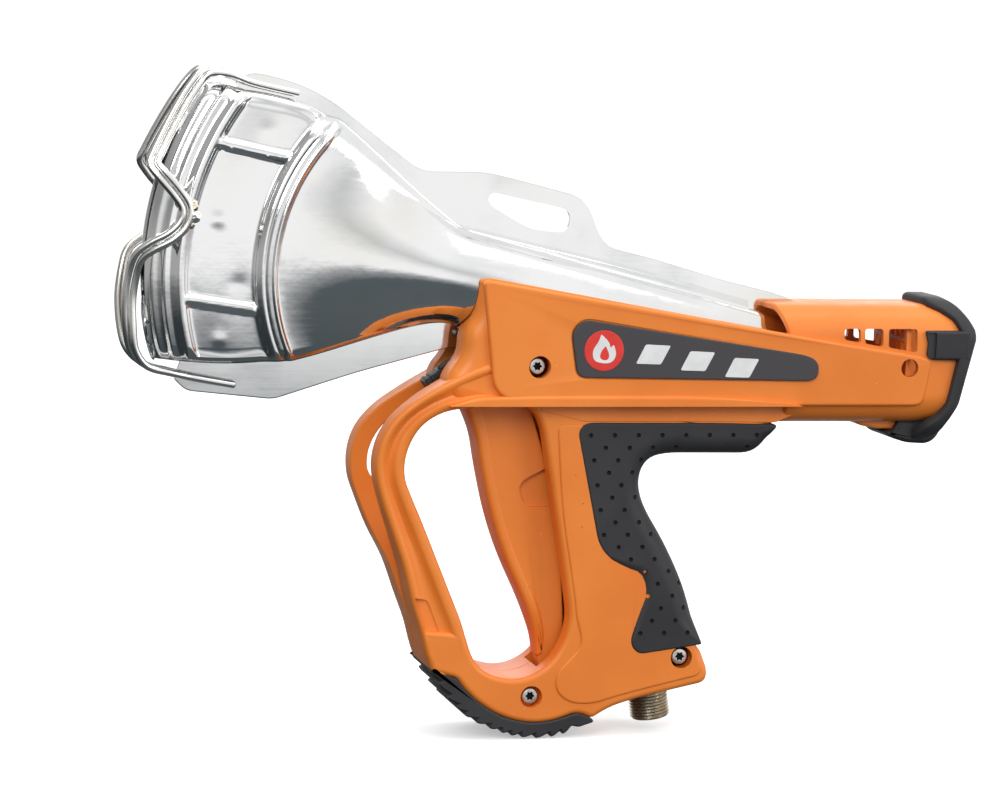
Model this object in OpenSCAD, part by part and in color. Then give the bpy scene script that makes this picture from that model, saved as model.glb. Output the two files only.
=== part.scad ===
// Hand-held gas heat gun for shrink wrapping.
// Millimetres. +X points to the tail, -Y is the left side, +Z is up.
// The origin is the centre of the gas inlet's free end; y = 0 is the parting plane.

/* [Casing] */
// Half width of the casing over its side panels
casing_hw = 26; // [25.5:0.5:27]
// Wall thickness of the moulded shells
wall = 2.5; // [2:0.25:2.5]
// Half width of the base and hand guard
base_hw = 19; // [18.5:0.5:19.5]
// Thickness of the soft grip pads
pad_t = 3; // [2.5:0.5:3]

/* [Nozzle] */
// Outer radius of the burner tube
tube_r = 19.5; // [19:0.25:19.75]
// Downward slope of the burner tube towards the tail, in degrees
tube_slope = 14.4; // [14:0.2:14.8]
// Half thickness of the fishtail head
head_hw = 15; // [14:0.5:16]
// Sheet thickness of the stamped nozzle
sheet = 1.2; // [1:0.1:1.5]
// Half width of the mouth slit
mouth_hw = 5; // [4.5:0.5:6]
// Radius of the cage wire
rod_r = 1.5; // [1.25:0.25:1.5]

/* [Trigger] */
// Half width of the trigger
trigger_hw = 9.5; // [9:0.25:10]
// Radius of the trigger's pivot pin
pin_r = 2; // [1.5:0.25:2.25]

/* [Gas inlet] */
// Outer radius of the inlet's G3/8 thread
inlet_r = 8.33; // [8.2:0.01:8.4]
// Tilt of the inlet from the vertical, in degrees
inlet_tilt = 9; // [8:0.5:10]

/* [Hidden] */
$fn = 48;

orange = [0.93, 0.45, 0.10];
charcoal = [0.16, 0.16, 0.17];
steel = [0.78, 0.78, 0.80];
brass = [0.76, 0.68, 0.50];
big = 400;
floor_z = 133.8;
fit_gap = 0.3;

// The tube's axis starts at the throat and falls towards the tail
throat = [-87, 0, 184];
tube_len = 137;
// The fan of the nozzle opens from here, with its two arcs about it
fan_centre = [-87, 186];
bead_radius = 81.5;
step_radius = 116;
rim_radius = 130.5;

trigger_pivot = [-45, 15];
valve_z = 70;
piezo_z = 110;
emboss_t = 0.8;

// Silhouette of guard, base, grip and the bridge under the casing
body_outline = [
    [-60, 150], [-82, 150.6], [-93, 145], [-105, 138.6], [-116.6, 131.2], [-123, 125.6], [-128, 117],
    [-129.5, 109], [-129, 99.8], [-125.8, 91.8], [-120.4, 79], [-112.8, 64.5], [-110.5, 55], [-104.5, 38.6],
    [-100.5, 29.7], [-99, 25], [-88, 21],
    [-85.7, 17.4], [-78.8, 10.6], [-68.9, 4.6], [-57, 1.8], [-46.3, 2.8], [-37, 6], [-30.6, 3.5],
    [-22.5, 8.1], [-12, 11.2], [5.9, 15.1], [17.5, 17.8], [18.8, 22], [15, 34], [10.5, 51],
    [6.5, 62], [-1, 78.5], [-8.7, 90], [-12, 96.5], [-12.2, 103], [-9.8, 109.6], [-5, 113.8],
    [33.8, 113.8], [40, 117.7], [45.3, 125.6], [38, 125.7], [38, 140], [-60, 140]];
// The finger loop between the guard and the grip
loop_outline = [
    [-63.7, floor_z], [-56.5, 128.6], [-54.2, 122.8], [-49.1, 92], [-45, 70], [-42.2, 54.3],
    [-41.1, 46.3], [-42.6, 37.2], [-47.8, 28.1], [-55.7, 22.4], [-64.5, 20.3], [-74.3, 22.8],
    [-78.6, 25.4], [-81.8, 29.4], [-87.3, 45.8], [-109.7, 98.6], [-111.7, 104.3], [-112, 109.2],
    [-110.6, 117], [-106, 125], [-97.3, 131.6], [-87.8, floor_z]];
// Left of this line the left leg is cut back, so that the right leg stands out beyond it
left_leg_trim = [
    [-150, 150], [-103, 146], [-105.6, 137], [-115, 130], [-122, 120.6], [-124.4, 109.2], [-121.7, 95.1],
    [-116.7, 80.9], [-112, 66], [-150, 60]];
// The right leg is slimmer, its loop edge cut back to this line
right_leg_trim = [
    [-105, 100], [-119.3, 97.2], [-121.6, 103], [-122.2, 110], [-119.7, 117.7], [-113.6, 125], [-104, 131],
    [-94, 130], [-95, 125], [-100, 115]];
casing_outline = [[-84, 184], [-81, 185.5], [38, 165.2], [38, floor_z], [-84, floor_z]];
// The side panel's tongue along the tail
tongue_outline = [
    [37, 165.4], [70, 160], [104, 154.7], [109, 153], [110, 149.3], [107, 136], [104.5, floor_z],
    [37, floor_z]];
plate_outline = [
    [-41, 169.5], [55.5, 155.1], [59.7, 152.6], [59.9, 147.6], [58, 144.6], [-41, 145.8],
    [-43, 147.5], [-45.6, 164.2], [-44.5, 168]];
pad_outline = [
    [-40.2, 123.3], [-38.5, 126], [-35.2, 126.6], [45.3, 125.6], [40, 117.7], [33.8, 113.8],
    [-5, 113.8], [-9.8, 109.6], [-12.2, 103], [-12, 96.5], [-8.7, 90], [-1, 78.5], [6.5, 62],
    [10.5, 51], [15, 34], [-11.6, 30.4], [-14.9, 34.2], [-13.1, 59.3], [-28.6, 74], [-31.1, 78]];
foot_outer = [
    [-99, 24.6], [-95.7, 19], [-91.3, 12.7], [-83.3, 5], [-71.4, -0.6], [-62.4, -3.3], [-56.3, -4.1],
    [-49.2, -3.9], [-38.4, -1], [-29.5, 2], [-30.6, 3.5]];
foot_inner = [
    [-37, 6], [-46.3, 2.8], [-57, 1.8], [-68.9, 4.6], [-78.8, 10.6], [-85.7, 17.4], [-88, 21]];
trigger_outline = [
    [-85.4, 131.6], [-87, 137], [-84, 140], [-60, 140], [-56.7, 129], [-51, 111], [-46, 90],
    [-43, valve_z], [-41.5, 50], [-39.8, 30], [-39, 18], [-44, 9.5], [-50, 12], [-51.5, 24],
    [-52.2, 35.5], [-57, 49], [-66.8, 68.7], [-73.2, 86.6], [-78.1, 108], [-80.1, 120.5]];
upper_flange = [
    [-181.2, 262], [-176, 265.8], [-169, 265.2], [-155.5, 261.8], [-142, 255.3], [-104.5, 227.3],
    [-78, 227.3], [-60, 223.5], [-37.7, 218.1], [-33, 213.6], [-27.8, 201], [-23, 196.8],
    [-7, 193.2], [24, 183.5], [36, 180.5], [36, 160], [-87, 190], [-140, 235], [-181.2, 245]];
lower_flange = [
    [-204, 142.2], [-199.4, 137.6], [-163.6, 134.1], [-129, 145.2], [-91, 155.4], [-85, 154.5],
    [-85, 175], [-140, 170], [-200, 160]];
hang_slot = [
    [-74.4, 219], [-76.4, 216.5], [-75.2, 213.9], [-60.2, 205.3], [-54, 203.8], [-45, 203.2],
    [-42.2, 205], [-41.5, 209.8], [-43.2, 212.4]];

// Route of one cage rod on the left: ends on the flange, waist on the head's side
rod_route = [
    [-157, -3, 257.4], [-176, -3, 261.6], [-186, -4.5, 265.2], [-191, -5.5, 267.6], [-195, -6.5, 267.4],
    [-199, -8, 263.3], [-204, -9, 256], [-210, -11, 245.5], [-216.5, -13, 233], [-217, -14, 230],
    [-214, -16, 225], [-208, -17.5, 217], [-204.5, -17.5, 211.5], [-205.5, -17.5, 206.5],
    [-210, -17, 201.5], [-217, -15, 197.5], [-222, -13, 193], [-224.5, -11, 186], [-226, -10, 175],
    [-225, -9, 163], [-222.5, -7.5, 154], [-216, -6, 148], [-206, -4.5, 145.4], [-196, -2.6, 143.2],
    [-180.5, -2.6, 140.5]];
lead_route = [
    [-30, 0, 117.3], [-36, 1, 122], [-41, 4, 130], [-43, 7, 138], [-47, 13, 141], [-60, 14, 141.5],
    [-69, 13, 142], [-75, 9.5, 145], [-79, 6, 148], [-84, 4.5, 150], [-90, 2, 148.5], [-96, 0, 143.5],
    [-95, -3, 147.5], [-90, -4.5, 151.5], [-85, -4.5, 155], [-81, -4, 160.5]];
injector_route = [
    [-20, 0, 77.3], [-20, 1, 82], [-20, 6, 92], [-20, 11, 102], [-17, 11, 113], [-8, 11, 120.5],
    [14, 11, 126], [34, 11, 130.9], [50, 11, 131.6], [59, 10, 134], [64, 8, 138.6], [66.4, 4.8, 141.6]];
// Below the thread the fitting is turned down a little, where the handle holds it
inlet_body_r = inlet_r - 0.4;
thread_len = 11.5;
// Each screw: x, z, half width of the shell there, and how far out its boss reaches
screw_sites = [[-58.8, 150, casing_hw, 24], [-56.7, 13, base_hw, 15.9], [7, 28.5, base_hw, 15.9]];
tail_pivot = [121.5, 0, 150];
bumper_profile = [
    [101.5, 117.3], [112, 116.6], [114.5, 117.4], [118.6, 122.1], [124.8, 133.9], [129.1, 149.7], [131.9, 159],
    [131.8, 165.5], [129.2, 170.6], [126, 174.3], [119.5, 178.9], [113.5, 179.1], [107, 178], [105, 176],
    [105, 150], [101.5, 135]];
tail_tilt = 17;

function unit(v) = v / norm(v);
// Ring of corners round one point of a route, square to the route there
function ring(points, i, r, sides) =
    let (a = points[max(i - 1, 0)], b = points[min(i + 1, len(points) - 1)],
         t = unit(b - a), side = unit(cross(t, cross([0, 1, 0], t))), up = cross(t, side))
    [for (k = [0:sides - 1]) points[i] + r * (side * cos(360 * k / sides) + up * sin(360 * k / sides))];
function helix(c, r, y0, y1, turns, per_turn) =
    [for (i = [0:turns * per_turn])
        let (a = 360 * i / per_turn)
        [c.x + r * cos(a), y0 + (y1 - y0) * i / (turns * per_turn), c.y + r * sin(a)]];
// Step of one unit to the left of a route's run in X and Z, longer round its corners
function left_of(v) = let (u = unit([v.x, 0, v.z])) [-u.z, 0, u.x];
function miter(points, i) =
    let (a = left_of(points[max(i, 1)] - points[max(i, 1) - 1]),
         b = left_of(points[min(i, len(points) - 2) + 1] - points[min(i, len(points) - 2)]))
    (a + b) / (1 + a * b);
function polar(r, a) = fan_centre + r * [-cos(a), sin(a)];
function arc(r, a0, a1, n) = [for (i = [0:n]) polar(r, a0 + (a1 - a0) * i / n)];

// Wire, pipe or spring swept along a route
module sweep(points, r, sides = 10) {
    n = len(points);
    corners = [for (i = [0:n - 1]) each ring(points, i, r, sides)];
    walls = [for (i = [0:n - 2], k = [0:sides - 1])
        let (a = i * sides + k, b = i * sides + (k + 1) % sides)
        [a, b, b + sides, a + sides]];
    first = [for (k = [0:sides - 1]) sides - 1 - k];
    last = [for (k = [0:sides - 1]) (n - 1) * sides + k];
    polyhedron(corners, concat([first], walls, [last]), convexity = 8);
}

// A drawing in X and Z, given its thickness from y0 to y1
module slab(y0, y1) {
    translate([0, y1, 0]) rotate([90, 0, 0]) linear_extrude(y1 - y0) children();
}

// Material on the left (side = -1) or right (side = 1) of the parting plane
module keep_side(side) {
    intersection() {
        children();
        translate([-big, side < 0 ? -big : 0, -big]) cube([2 * big, big, 2 * big]);
    }
}

module along_tube(start = 0) {
    translate(throat) rotate([0, 90 + tube_slope, 0]) translate([0, 0, start]) children();
}

module along_inlet(start = 0) {
    rotate([0, -inlet_tilt, 0]) translate([0, 0, start]) children();
}

module across(x, z, y0, y1, r) { // a cylinder along Y
    translate([x, y1, z]) rotate([90, 0, 0]) cylinder(r = r, h = y1 - y0);
}

// The tail's section, rounded, running along X
module tail_bar(x0, x1, inset) {
    half = 22.8 - inset;
    translate([x0, 0, 0]) rotate([90, 0, 90]) linear_extrude(x1 - x0)
        translate([0, 150.75]) offset(r = 13 - inset) square([2 * half - 26 + 2 * inset, 23.5], center = true);
}

// Space behind the tail's slanted rear plane
module behind_tail(shift = 0) {
    translate(tail_pivot) rotate([0, tail_tilt, 0]) translate([shift, -big, -big]) cube(2 * big);
}

// Room for the burner tube in the shells
module tube_trough() {
    along_tube(-30) cylinder(r = tube_r + 0.8, h = 32 + tube_len, $fn = 64);
}

module guard_gap() {
    // The guard is two legs, with a gap between them above the fork
    slab(-8, 8) polygon([
        [-135, 97], [-112, 97], [-112.5, 109], [-110.6, 117], [-106, 125], [-97.3, 131.6], [-90, floor_z],
        [-84.1, floor_z], [-84.1, 170], [-135, 150]]);
}

module shell(side) {
    keep_side(side) difference() {
        union() {
            hollow_shell();
            screw_bosses();
        }
        slab(-base_hw - 1, base_hw + 1) polygon(side < 0 ? left_leg_trim : right_leg_trim);
    }
}

module hollow_shell() {
    difference() {
        union() {
            slab(-base_hw, base_hw) difference() {
                polygon(body_outline);
                polygon(loop_outline);
            }
            slab(-casing_hw, casing_hw) polygon(casing_outline);
            slab(-casing_hw, casing_hw) polygon(tongue_outline);
            tail_bar(37, 150, 0);
            // Latch under the tail
            translate([83, -10, 122.4]) cube([18, 20, 8]);
        }
        guard_gap();
        tail_bar(37.5, 160, wall);
        behind_tail();
        vent_windows();
        translate([86, -7, 118]) cube([12, 14, 9]);
        // Hollow of the casing, open at the top round the burner tube
        slab(-casing_hw + wall, casing_hw - wall)
            polygon([[-81.5, 200], [-81.5, floor_z + wall], [37, floor_z + wall], [37, 200]]);
        tube_trough();
        // Hollow of the grip and the bridge
        slab(-base_hw + pad_t + wall, base_hw - pad_t - wall) polygon([
            [-56, 126], [-50, 92], [-43.5, 60], [-40, 47], [-39, 36], [-38, 20], [-33, 12], [-26, 12],
            [-12, 14], [5, 17.8], [15.5, 20.2], [12, 34], [7.5, 51], [3.5, 61], [-3.5, 77], [-11, 88.6],
            [-14.7, 95.5], [-14.8, 104], [-12, 111], [-6, 116.4], [32.5, 116.4], [37.5, 120], [40, 123],
            [38.5, 123], [36, 131.2], [-50, 131.2]]);
        // Passage of the injector pipe into the tail
        slab(8.5, 13.4) polygon([[20, 124], [38.2, 124], [38.2, floor_z + 3], [20, floor_z + 3]]);
        // Channel of the trigger, through the base, the grip's front and the casing's floor
        slab(-10.6, 10.6) polygon([
            [-52.5, 11], [-47, 8], [-38, 9], [-32, 20], [-33, 60], [-33, 110], [-38, 137], [-81, 142],
            [-89, 142], [-89, floor_z - 0.1], [-63.7, floor_z - 0.1], [-60, 90], [-62, 40], [-55, 20]]);
        // Seat of the inlet fitting
        along_inlet(-5) cylinder(r = inlet_body_r + 0.07, h = 40);
        along_inlet(16.4) cylinder(r = 11.4, h = 6.4);
        // Recess of the name plate and the grip pad
        for (s = [-1, 1]) {
            slab(min(s * casing_hw, s * (casing_hw - 1.2)) - (s < 0 ? 1 : 0),
                 max(s * casing_hw, s * (casing_hw - 1.2)) + (s > 0 ? 1 : 0))
                offset(delta = fit_gap) polygon(plate_outline);
            slab(min(s * base_hw, s * (base_hw - pad_t)) - (s < 0 ? 1 : 0),
                 max(s * base_hw, s * (base_hw - pad_t)) + (s > 0 ? 1 : 0)) polygon(pad_outline);
        }
        // Wire passage in the front wall and the slot of the lower flange
        translate([-90, -8, 138]) cube([12, 16, 25]);
        // Open hole through the tail
        across(100.4, 149.8, -casing_hw - 1, casing_hw + 1, 3.8);
        screw_bores();
        across(trigger_pivot.x, trigger_pivot.y, -base_hw + wall, base_hw - wall, pin_r + 0.02);
    }
}

module screw_bores() {
    for (p = screw_sites) {
        across(p[0], p[1], -p[2] - 1, -p[2] + 4, 4.6);
        across(p[0], p[1], -p[2], p[2] - 8, 2.1);
    }
}

// Bosses inside the shells, one under each screw
module screw_bosses() {
    intersection() {
        difference() {
            for (p = screw_sites) across(p[0], p[1], -p[3], p[3], 5);
            screw_bores();
            tube_trough();
            along_inlet(-5) cylinder(r = inlet_body_r + 0.07, h = 40);
            slab(-10.6, 10.6) translate([-45, 15]) circle(6.6);
        }
        union() {
            slab(-base_hw + 0.5, base_hw - 0.5) polygon(body_outline);
            slab(-casing_hw + 0.5, casing_hw - 0.5) polygon(casing_outline);
        }
    }
}

module left_shell() color(orange) shell(-1);
module right_shell() color(orange) shell(1);

// Vent windows of the tail, their sills following the side panel
module vent_windows() {
    for (s = [-1, 1]) slab(s < 0 ? -30 : 17, s < 0 ? -17 : 30) {
        polygon([[71.6, 166], [78.6, 166], [78.6, 160], [71.6, 161]]);
        polygon([[80, 166], [88.6, 166], [88.6, 158.4], [80, 159.8]]);
        polygon([[90.6, 166], [104, 166], [103, 156.2], [90.6, 158]]);
    }
}

module tail_bumper() {
    color(charcoal) difference() {
        intersection() {
            union() {
                translate(tail_pivot) rotate([0, tail_tilt, 0]) translate([-7, 0, -2]) rotate([90, 0, 90])
                    linear_extrude(19) offset(r = 20) square([53 - 40, 61 - 40], center = true);
                for (s = [-1, 1]) translate([107, s > 0 ? 22.8 : -25.8, 155.8]) cube([18, 3, 9.7]);
                translate([100, -8, 172]) cube([31, 16, 8]);
                translate([90, -9, 114]) cube([28, 18, 15.4]);
            }
            slab(-base_hw - 10, base_hw + 10) polygon(bumper_profile);
        }
        difference() {
            tail_bar(38, 150, 0);
            behind_tail(0.05);
        }
        tail_mouth();
        slab(-27, 27) offset(delta = fit_gap) polygon(tongue_outline);
        translate([82.7, -12, 120]) cube([18.6, 24, 10]);
    }
}

module tail_mouth() {
    translate(tail_pivot) rotate([0, tail_tilt, 0]) translate([-30, 0, 0]) rotate([90, 0, 90])
        linear_extrude(80) offset(r = 12) square([39 - 24, 44 - 24], center = true);
}

module intake_grille() {
    color(charcoal) difference() {
        tail_bar(100, 102, wall + 0.1);
        for (z = [134:6:166], y = [-15:6:15]) translate([99, y - 2.2, z - 2.2]) cube([4, 4.4, 4.4]);
    }
}

module grip_pad(side) {
    color(charcoal) slab(side < 0 ? -base_hw - 1 : base_hw - pad_t, side < 0 ? -base_hw + pad_t : base_hw + 1)
        offset(delta = -0.05) polygon(pad_outline);
}

module left_grip_pad() grip_pad(-1);
module right_grip_pad() grip_pad(1);

module foot_bumper() {
    color(charcoal) slab(-base_hw - 0.5, base_hw + 0.5) polygon(concat(foot_outer, foot_inner));
}

module name_plate(side) {
    color(charcoal) slab(side < 0 ? -casing_hw : casing_hw - 1.2, side < 0 ? -casing_hw + 1.2 : casing_hw)
        polygon(plate_outline);
}

module left_name_plate() name_plate(-1);
module right_name_plate() name_plate(1);

// Round badge and three slanted stripes on each plate
module plate_emblems() {
    for (s = [-1, 1]) {
        y0 = s < 0 ? -casing_hw - emboss_t : casing_hw;
        color("firebrick") across(-32.2, 156.9, y0, y0 + emboss_t, 8.4);
        color("gainsboro") for (k = [0:2])
            slab(y0, y0 + emboss_t) translate([-14 + 18 * k, 154.4 - 2.4 * k])
                polygon([[-4, -4.5], [8, -4.5], [12, 4.5], [0, 4.5]]);
    }
}

module shell_screws() {
    color(steel) for (p = screw_sites) {
        difference() {
            across(p[0], p[1], -p[2] + 1, -p[2] + 4, 3.5);
            translate([p[0], -p[2] + 3.2, p[1]]) rotate([90, 0, 0]) cylinder(r = 2.3, h = 5, $fn = 6);
        }
        across(p[0], p[1], -p[2] + 4, p[2] - 9, 2);
    }
}

module trigger() {
    color(orange) difference() {
        union() {
            slab(-trigger_hw, trigger_hw) intersection() {
                polygon(trigger_outline);
                translate([-100, 30]) square([100, 120]);
            }
            // Narrow foot that carries the pivot
            slab(-5, 5) {
                intersection() {
                    polygon(trigger_outline);
                    translate([-100, 0]) square([100, 30.01]);
                }
                translate(trigger_pivot) circle(5.5);
            }
        }
        across(trigger_pivot.x, trigger_pivot.y, -20, 20, pin_r + 0.05);
    }
}

module trigger_pin() {
    color(steel) across(trigger_pivot.x, trigger_pivot.y, -base_hw + wall, base_hw - wall, pin_r);
}

module trigger_spring() {
    color(steel) sweep(concat(
        helix(trigger_pivot, 3.6, 5.9, 9.9, 4, 12),
        [[-41.2, 10, 20], [-36.4, 9.9, 24]]), 0.4, 6);
}

// Outside of the nozzle: tube, fan and fishtail head. d shrinks it all over to make the inside.
module nozzle_solid(d) {
    along_tube(d > 0 ? -1 : 0) cylinder(r = tube_r - d, h = tube_len + 2 * d, $fn = 64);
    hull() {
        along_tube(1) cylinder(r = tube_r - 0.4 - d, h = 1, $fn = 32);
        slab(-head_hw + 1 + d, head_hw - 1 - d)
            polygon(concat(arc(bead_radius - 4, -26 + d, 50 - d, 12), [polar(60, 50 - d), polar(60, -26 + d)]));
    }
    head(head_hw - d, d);
}

module head(hw, d) {
    slab(-hw, hw) polygon(concat(
        arc(bead_radius - 5, -26 + d, 50 - d, 12), [polar(94, 46.2 - d)],
        arc(step_radius - d, 38.6 - d / 2, -18 + d / 2, 10)));
    slab(-hw + 4, hw - 4) polygon(concat(
        arc(bead_radius, -24 + d, 46 - d, 12), [polar(step_radius, 38.6 - d / 2)],
        arc(rim_radius - d, 35.2 - d / 2, -15.4 + d / 2, 10)));
}

module nozzle_left_half() {
    color(steel) keep_side(-1) difference() {
        union() {
            nozzle_solid(0);
            slab(-0.8, 0.8) difference() {
                union() {
                    polygon(upper_flange);
                    polygon(lower_flange);
                }
                polygon(hang_slot);
            }
        }
        nozzle_solid(sheet);
        along_tube(tube_len - 1) cylinder(r = tube_r - sheet, h = 10, $fn = 64);
        // Mouth slit, along the rim
        slab(-mouth_hw, mouth_hw) polygon(concat(arc(rim_radius - 6, -13, 33, 8), arc(rim_radius + 6, 33, -13, 8)));
        across(-88, 161.3, -5, 5, 1.3);
    }
}

module nozzle_right_half() mirror([0, 1, 0]) nozzle_left_half();

module nozzle_lock_pin() {
    color(charcoal) across(-88, 161.3, -4, 4, 1.25);
}

// One cage rod. The inner rod lies a wire's width inside the outer one, and beside it at the ends.
module cage_rod(side, inner) {
    n = len(rod_route);
    gap = inner ? 2 * rod_r + 0.15 : 0;
    route = [for (i = [0:n - 1])
        let (p = rod_route[i], turn = 90 * max(0, 1 - min(max(i - 2, 0), max(n - 3 - i, 0)) / 3),
             side_step = gap * cos(turn) * miter(rod_route, i))
        [p.x + side_step.x, side * (gap * sin(turn) - p.y), p.z + side_step.z]];
    color(steel) sweep(route, rod_r);
}

module left_outer_rod() cage_rod(-1, false);
module left_inner_rod() cage_rod(-1, true);
module right_outer_rod() cage_rod(1, false);
module right_inner_rod() cage_rod(1, true);

module cage_welds() {
    color("rosybrown") for (s = [-1, 1]) difference() {
        translate([-199.6, s * 14.6, 209.5]) sphere(3.4, $fn = 24);
        slab(-head_hw, head_hw) translate([-250, 150]) square([100, 100]);
    }
}

module flame_holder() {
    color(steel) along_tube(6) difference() {
        cylinder(r = tube_r - sheet - 0.1, h = 1.5);
        translate([0, 0, -1]) cylinder(r = 7, h = 4);
        for (a = [0:30:330]) rotate(a) translate([12, 0, -1]) cylinder(r = 2, h = 4, $fn = 16);
    }
}

module electrode_insulator() {
    color("ivory") along_tube(9) translate([0, -4, 0]) difference() {
        cylinder(r = 2.5, h = 22);
        translate([0, 0, -1]) cylinder(r = 0.8, h = 30);
    }
}

module electrode() {
    color(steel) along_tube(1) translate([0, -4, 0]) cylinder(r = 0.75, h = 32, $fn = 24);
}

module ignition_lead() {
    color(charcoal) sweep(lead_route, 1.1, 8);
}

module lead_connectors() {
    color(charcoal) for (x = [-98, -92]) translate([x, 0, 143]) rotate([0, -35, 0])
        difference() {
            translate([-2.2, -5, -3]) cube([4.4, 10, 6]);
            translate([-10, -3.4, -1.8]) cube([20, 6.8, 3.6]);
        }
}

module piezo_body() {
    color("dimgray") difference() {
        translate([-36, -6, piezo_z - 6]) cube([20, 12, 12]);
        translate([-37, 0, piezo_z]) rotate([0, 90, 0]) cylinder(r = 3.05, h = 17.5);
    }
}

module piezo_plunger() {
    color("ivory") translate([-49.6, 0, piezo_z]) rotate([0, 90, 0]) cylinder(r = 3, h = 20);
}

module gas_inlet_fitting() {
    color(brass) along_inlet() difference() {
        union() {
            cylinder(r = inlet_r, h = thread_len);
            translate([0, 0, thread_len - 0.01]) cylinder(r = inlet_body_r, h = 24.01 - thread_len);
        }
        translate([0, 0, -1]) cylinder(r = 4, h = 30);
    }
}

module inlet_washer() {
    color(charcoal) along_inlet(16.5) difference() {
        cylinder(r = 11, h = 1);
        translate([0, 0, -1]) cylinder(r = inlet_body_r + 0.05, h = 3);
    }
}

module inlet_nut() {
    color(brass) along_inlet(17.55) difference() {
        cylinder(r = 11, h = 4.5, $fn = 6);
        translate([0, 0, -1]) cylinder(r = inlet_body_r + 0.05, h = 8);
    }
}

module feed_pipe() {
    color(brass) along_inlet(24.05) difference() {
        cylinder(r = 3, h = 36);
        translate([0, 0, -1]) cylinder(r = 2, h = 40);
    }
}

module valve_body() {
    color(brass) difference() {
        translate([-27, -8, 61.3]) cube([20, 16, 15.7]);
        translate([-28, 0, valve_z]) rotate([0, 90, 0]) cylinder(r = 3.05, h = 18);
    }
}

module valve_stem() {
    color(steel) translate([-42.6, 0, valve_z]) rotate([0, 90, 0]) cylinder(r = 3, h = 27);
}

module injector_pipe() {
    color(brass) sweep(injector_route, 2);
}

module jet_bracket() {
    color(steel) difference() {
        translate([69, -20.1, 140]) cube([3, 40.2, 12]);
        along_tube(150) cylinder(r = 4.05, h = 40);
    }
}

module injector_jet() {
    color(brass) along_tube(157) difference() {
        union() {
            cylinder(r = 4, h = 12);
            translate([0, 0, -6]) cylinder(r1 = 1.2, r2 = 4, h = 6.01);
        }
        translate([0, 0, -7]) cylinder(r = 0.6, h = 30, $fn = 24);
    }
}

left_shell();
right_shell();
tail_bumper();
intake_grille();
left_grip_pad();
right_grip_pad();
foot_bumper();
left_name_plate();
right_name_plate();
plate_emblems();
shell_screws();
trigger();
trigger_pin();
trigger_spring();
nozzle_left_half();
nozzle_right_half();
nozzle_lock_pin();
left_outer_rod();
left_inner_rod();
right_outer_rod();
right_inner_rod();
cage_welds();
flame_holder();
electrode();
electrode_insulator();
ignition_lead();
lead_connectors();
piezo_body();
piezo_plunger();
gas_inlet_fitting();
inlet_washer();
inlet_nut();
feed_pipe();
valve_body();
valve_stem();
injector_pipe();
injector_jet();
jet_bracket();
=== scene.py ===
"""Looks of a hand-held gas heat gun for shrink wrapping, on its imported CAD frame."""
import math
import bpy
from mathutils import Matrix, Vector, noise


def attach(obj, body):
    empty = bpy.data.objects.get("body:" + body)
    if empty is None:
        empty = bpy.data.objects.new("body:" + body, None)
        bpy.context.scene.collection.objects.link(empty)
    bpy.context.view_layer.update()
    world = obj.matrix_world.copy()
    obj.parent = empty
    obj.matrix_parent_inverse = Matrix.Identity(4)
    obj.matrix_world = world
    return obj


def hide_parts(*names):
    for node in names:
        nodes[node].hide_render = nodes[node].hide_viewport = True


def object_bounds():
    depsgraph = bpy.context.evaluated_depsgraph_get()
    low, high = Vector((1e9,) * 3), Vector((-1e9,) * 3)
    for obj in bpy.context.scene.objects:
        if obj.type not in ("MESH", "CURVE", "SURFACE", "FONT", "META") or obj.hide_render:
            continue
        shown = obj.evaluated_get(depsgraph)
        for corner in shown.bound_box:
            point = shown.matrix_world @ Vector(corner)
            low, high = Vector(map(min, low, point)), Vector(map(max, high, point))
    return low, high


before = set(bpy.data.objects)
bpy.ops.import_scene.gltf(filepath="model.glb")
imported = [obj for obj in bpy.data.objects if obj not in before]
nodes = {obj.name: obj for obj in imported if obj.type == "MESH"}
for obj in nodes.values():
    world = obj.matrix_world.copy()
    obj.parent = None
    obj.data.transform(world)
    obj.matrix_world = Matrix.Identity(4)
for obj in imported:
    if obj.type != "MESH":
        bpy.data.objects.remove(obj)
cad_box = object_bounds()

# ---- Camera, lights and floor
# The camera stands left of the gun, a little ahead of it and above it. Four soft lights hang overhead, in
# front and behind, and the sky has darker bands low down and on the left for the steel to mirror.
camera_data = bpy.data.cameras.new("camera")
camera_data.lens, camera_data.sensor_width = 128.5, 36
camera = bpy.data.objects.new("camera", camera_data)
bpy.context.scene.collection.objects.link(camera)
camera.location = (-0.4217, -1.4156, 0.2999)
aim = Vector((-0.06875, 0, 0.1337)) - camera.location
camera.rotation_mode = "QUATERNION"
camera.rotation_quaternion = aim.to_track_quat("-Z", "Y")
camera.rotation_mode = "XYZ"
camera.rotation_euler.rotate_axis("Z", math.radians(1.6))
bpy.context.scene.camera = camera


def tree_node(tree, kind, settings=(), **inputs):
    """Adds a node; a keyword names one of its inputs, and is a value or another node's output."""
    node = tree.nodes.new(kind)
    for key, value in settings:
        setattr(node, key, value)
    for key, value in inputs.items():
        by_number = key[0] == "i" and key[1:].isdigit()
        socket = node.inputs[int(key[1:]) if by_number else key.replace("_", " ")]
        if isinstance(value, bpy.types.NodeSocket):
            tree.links.new(value, socket)
        else:
            socket.default_value = value
    return node


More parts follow.
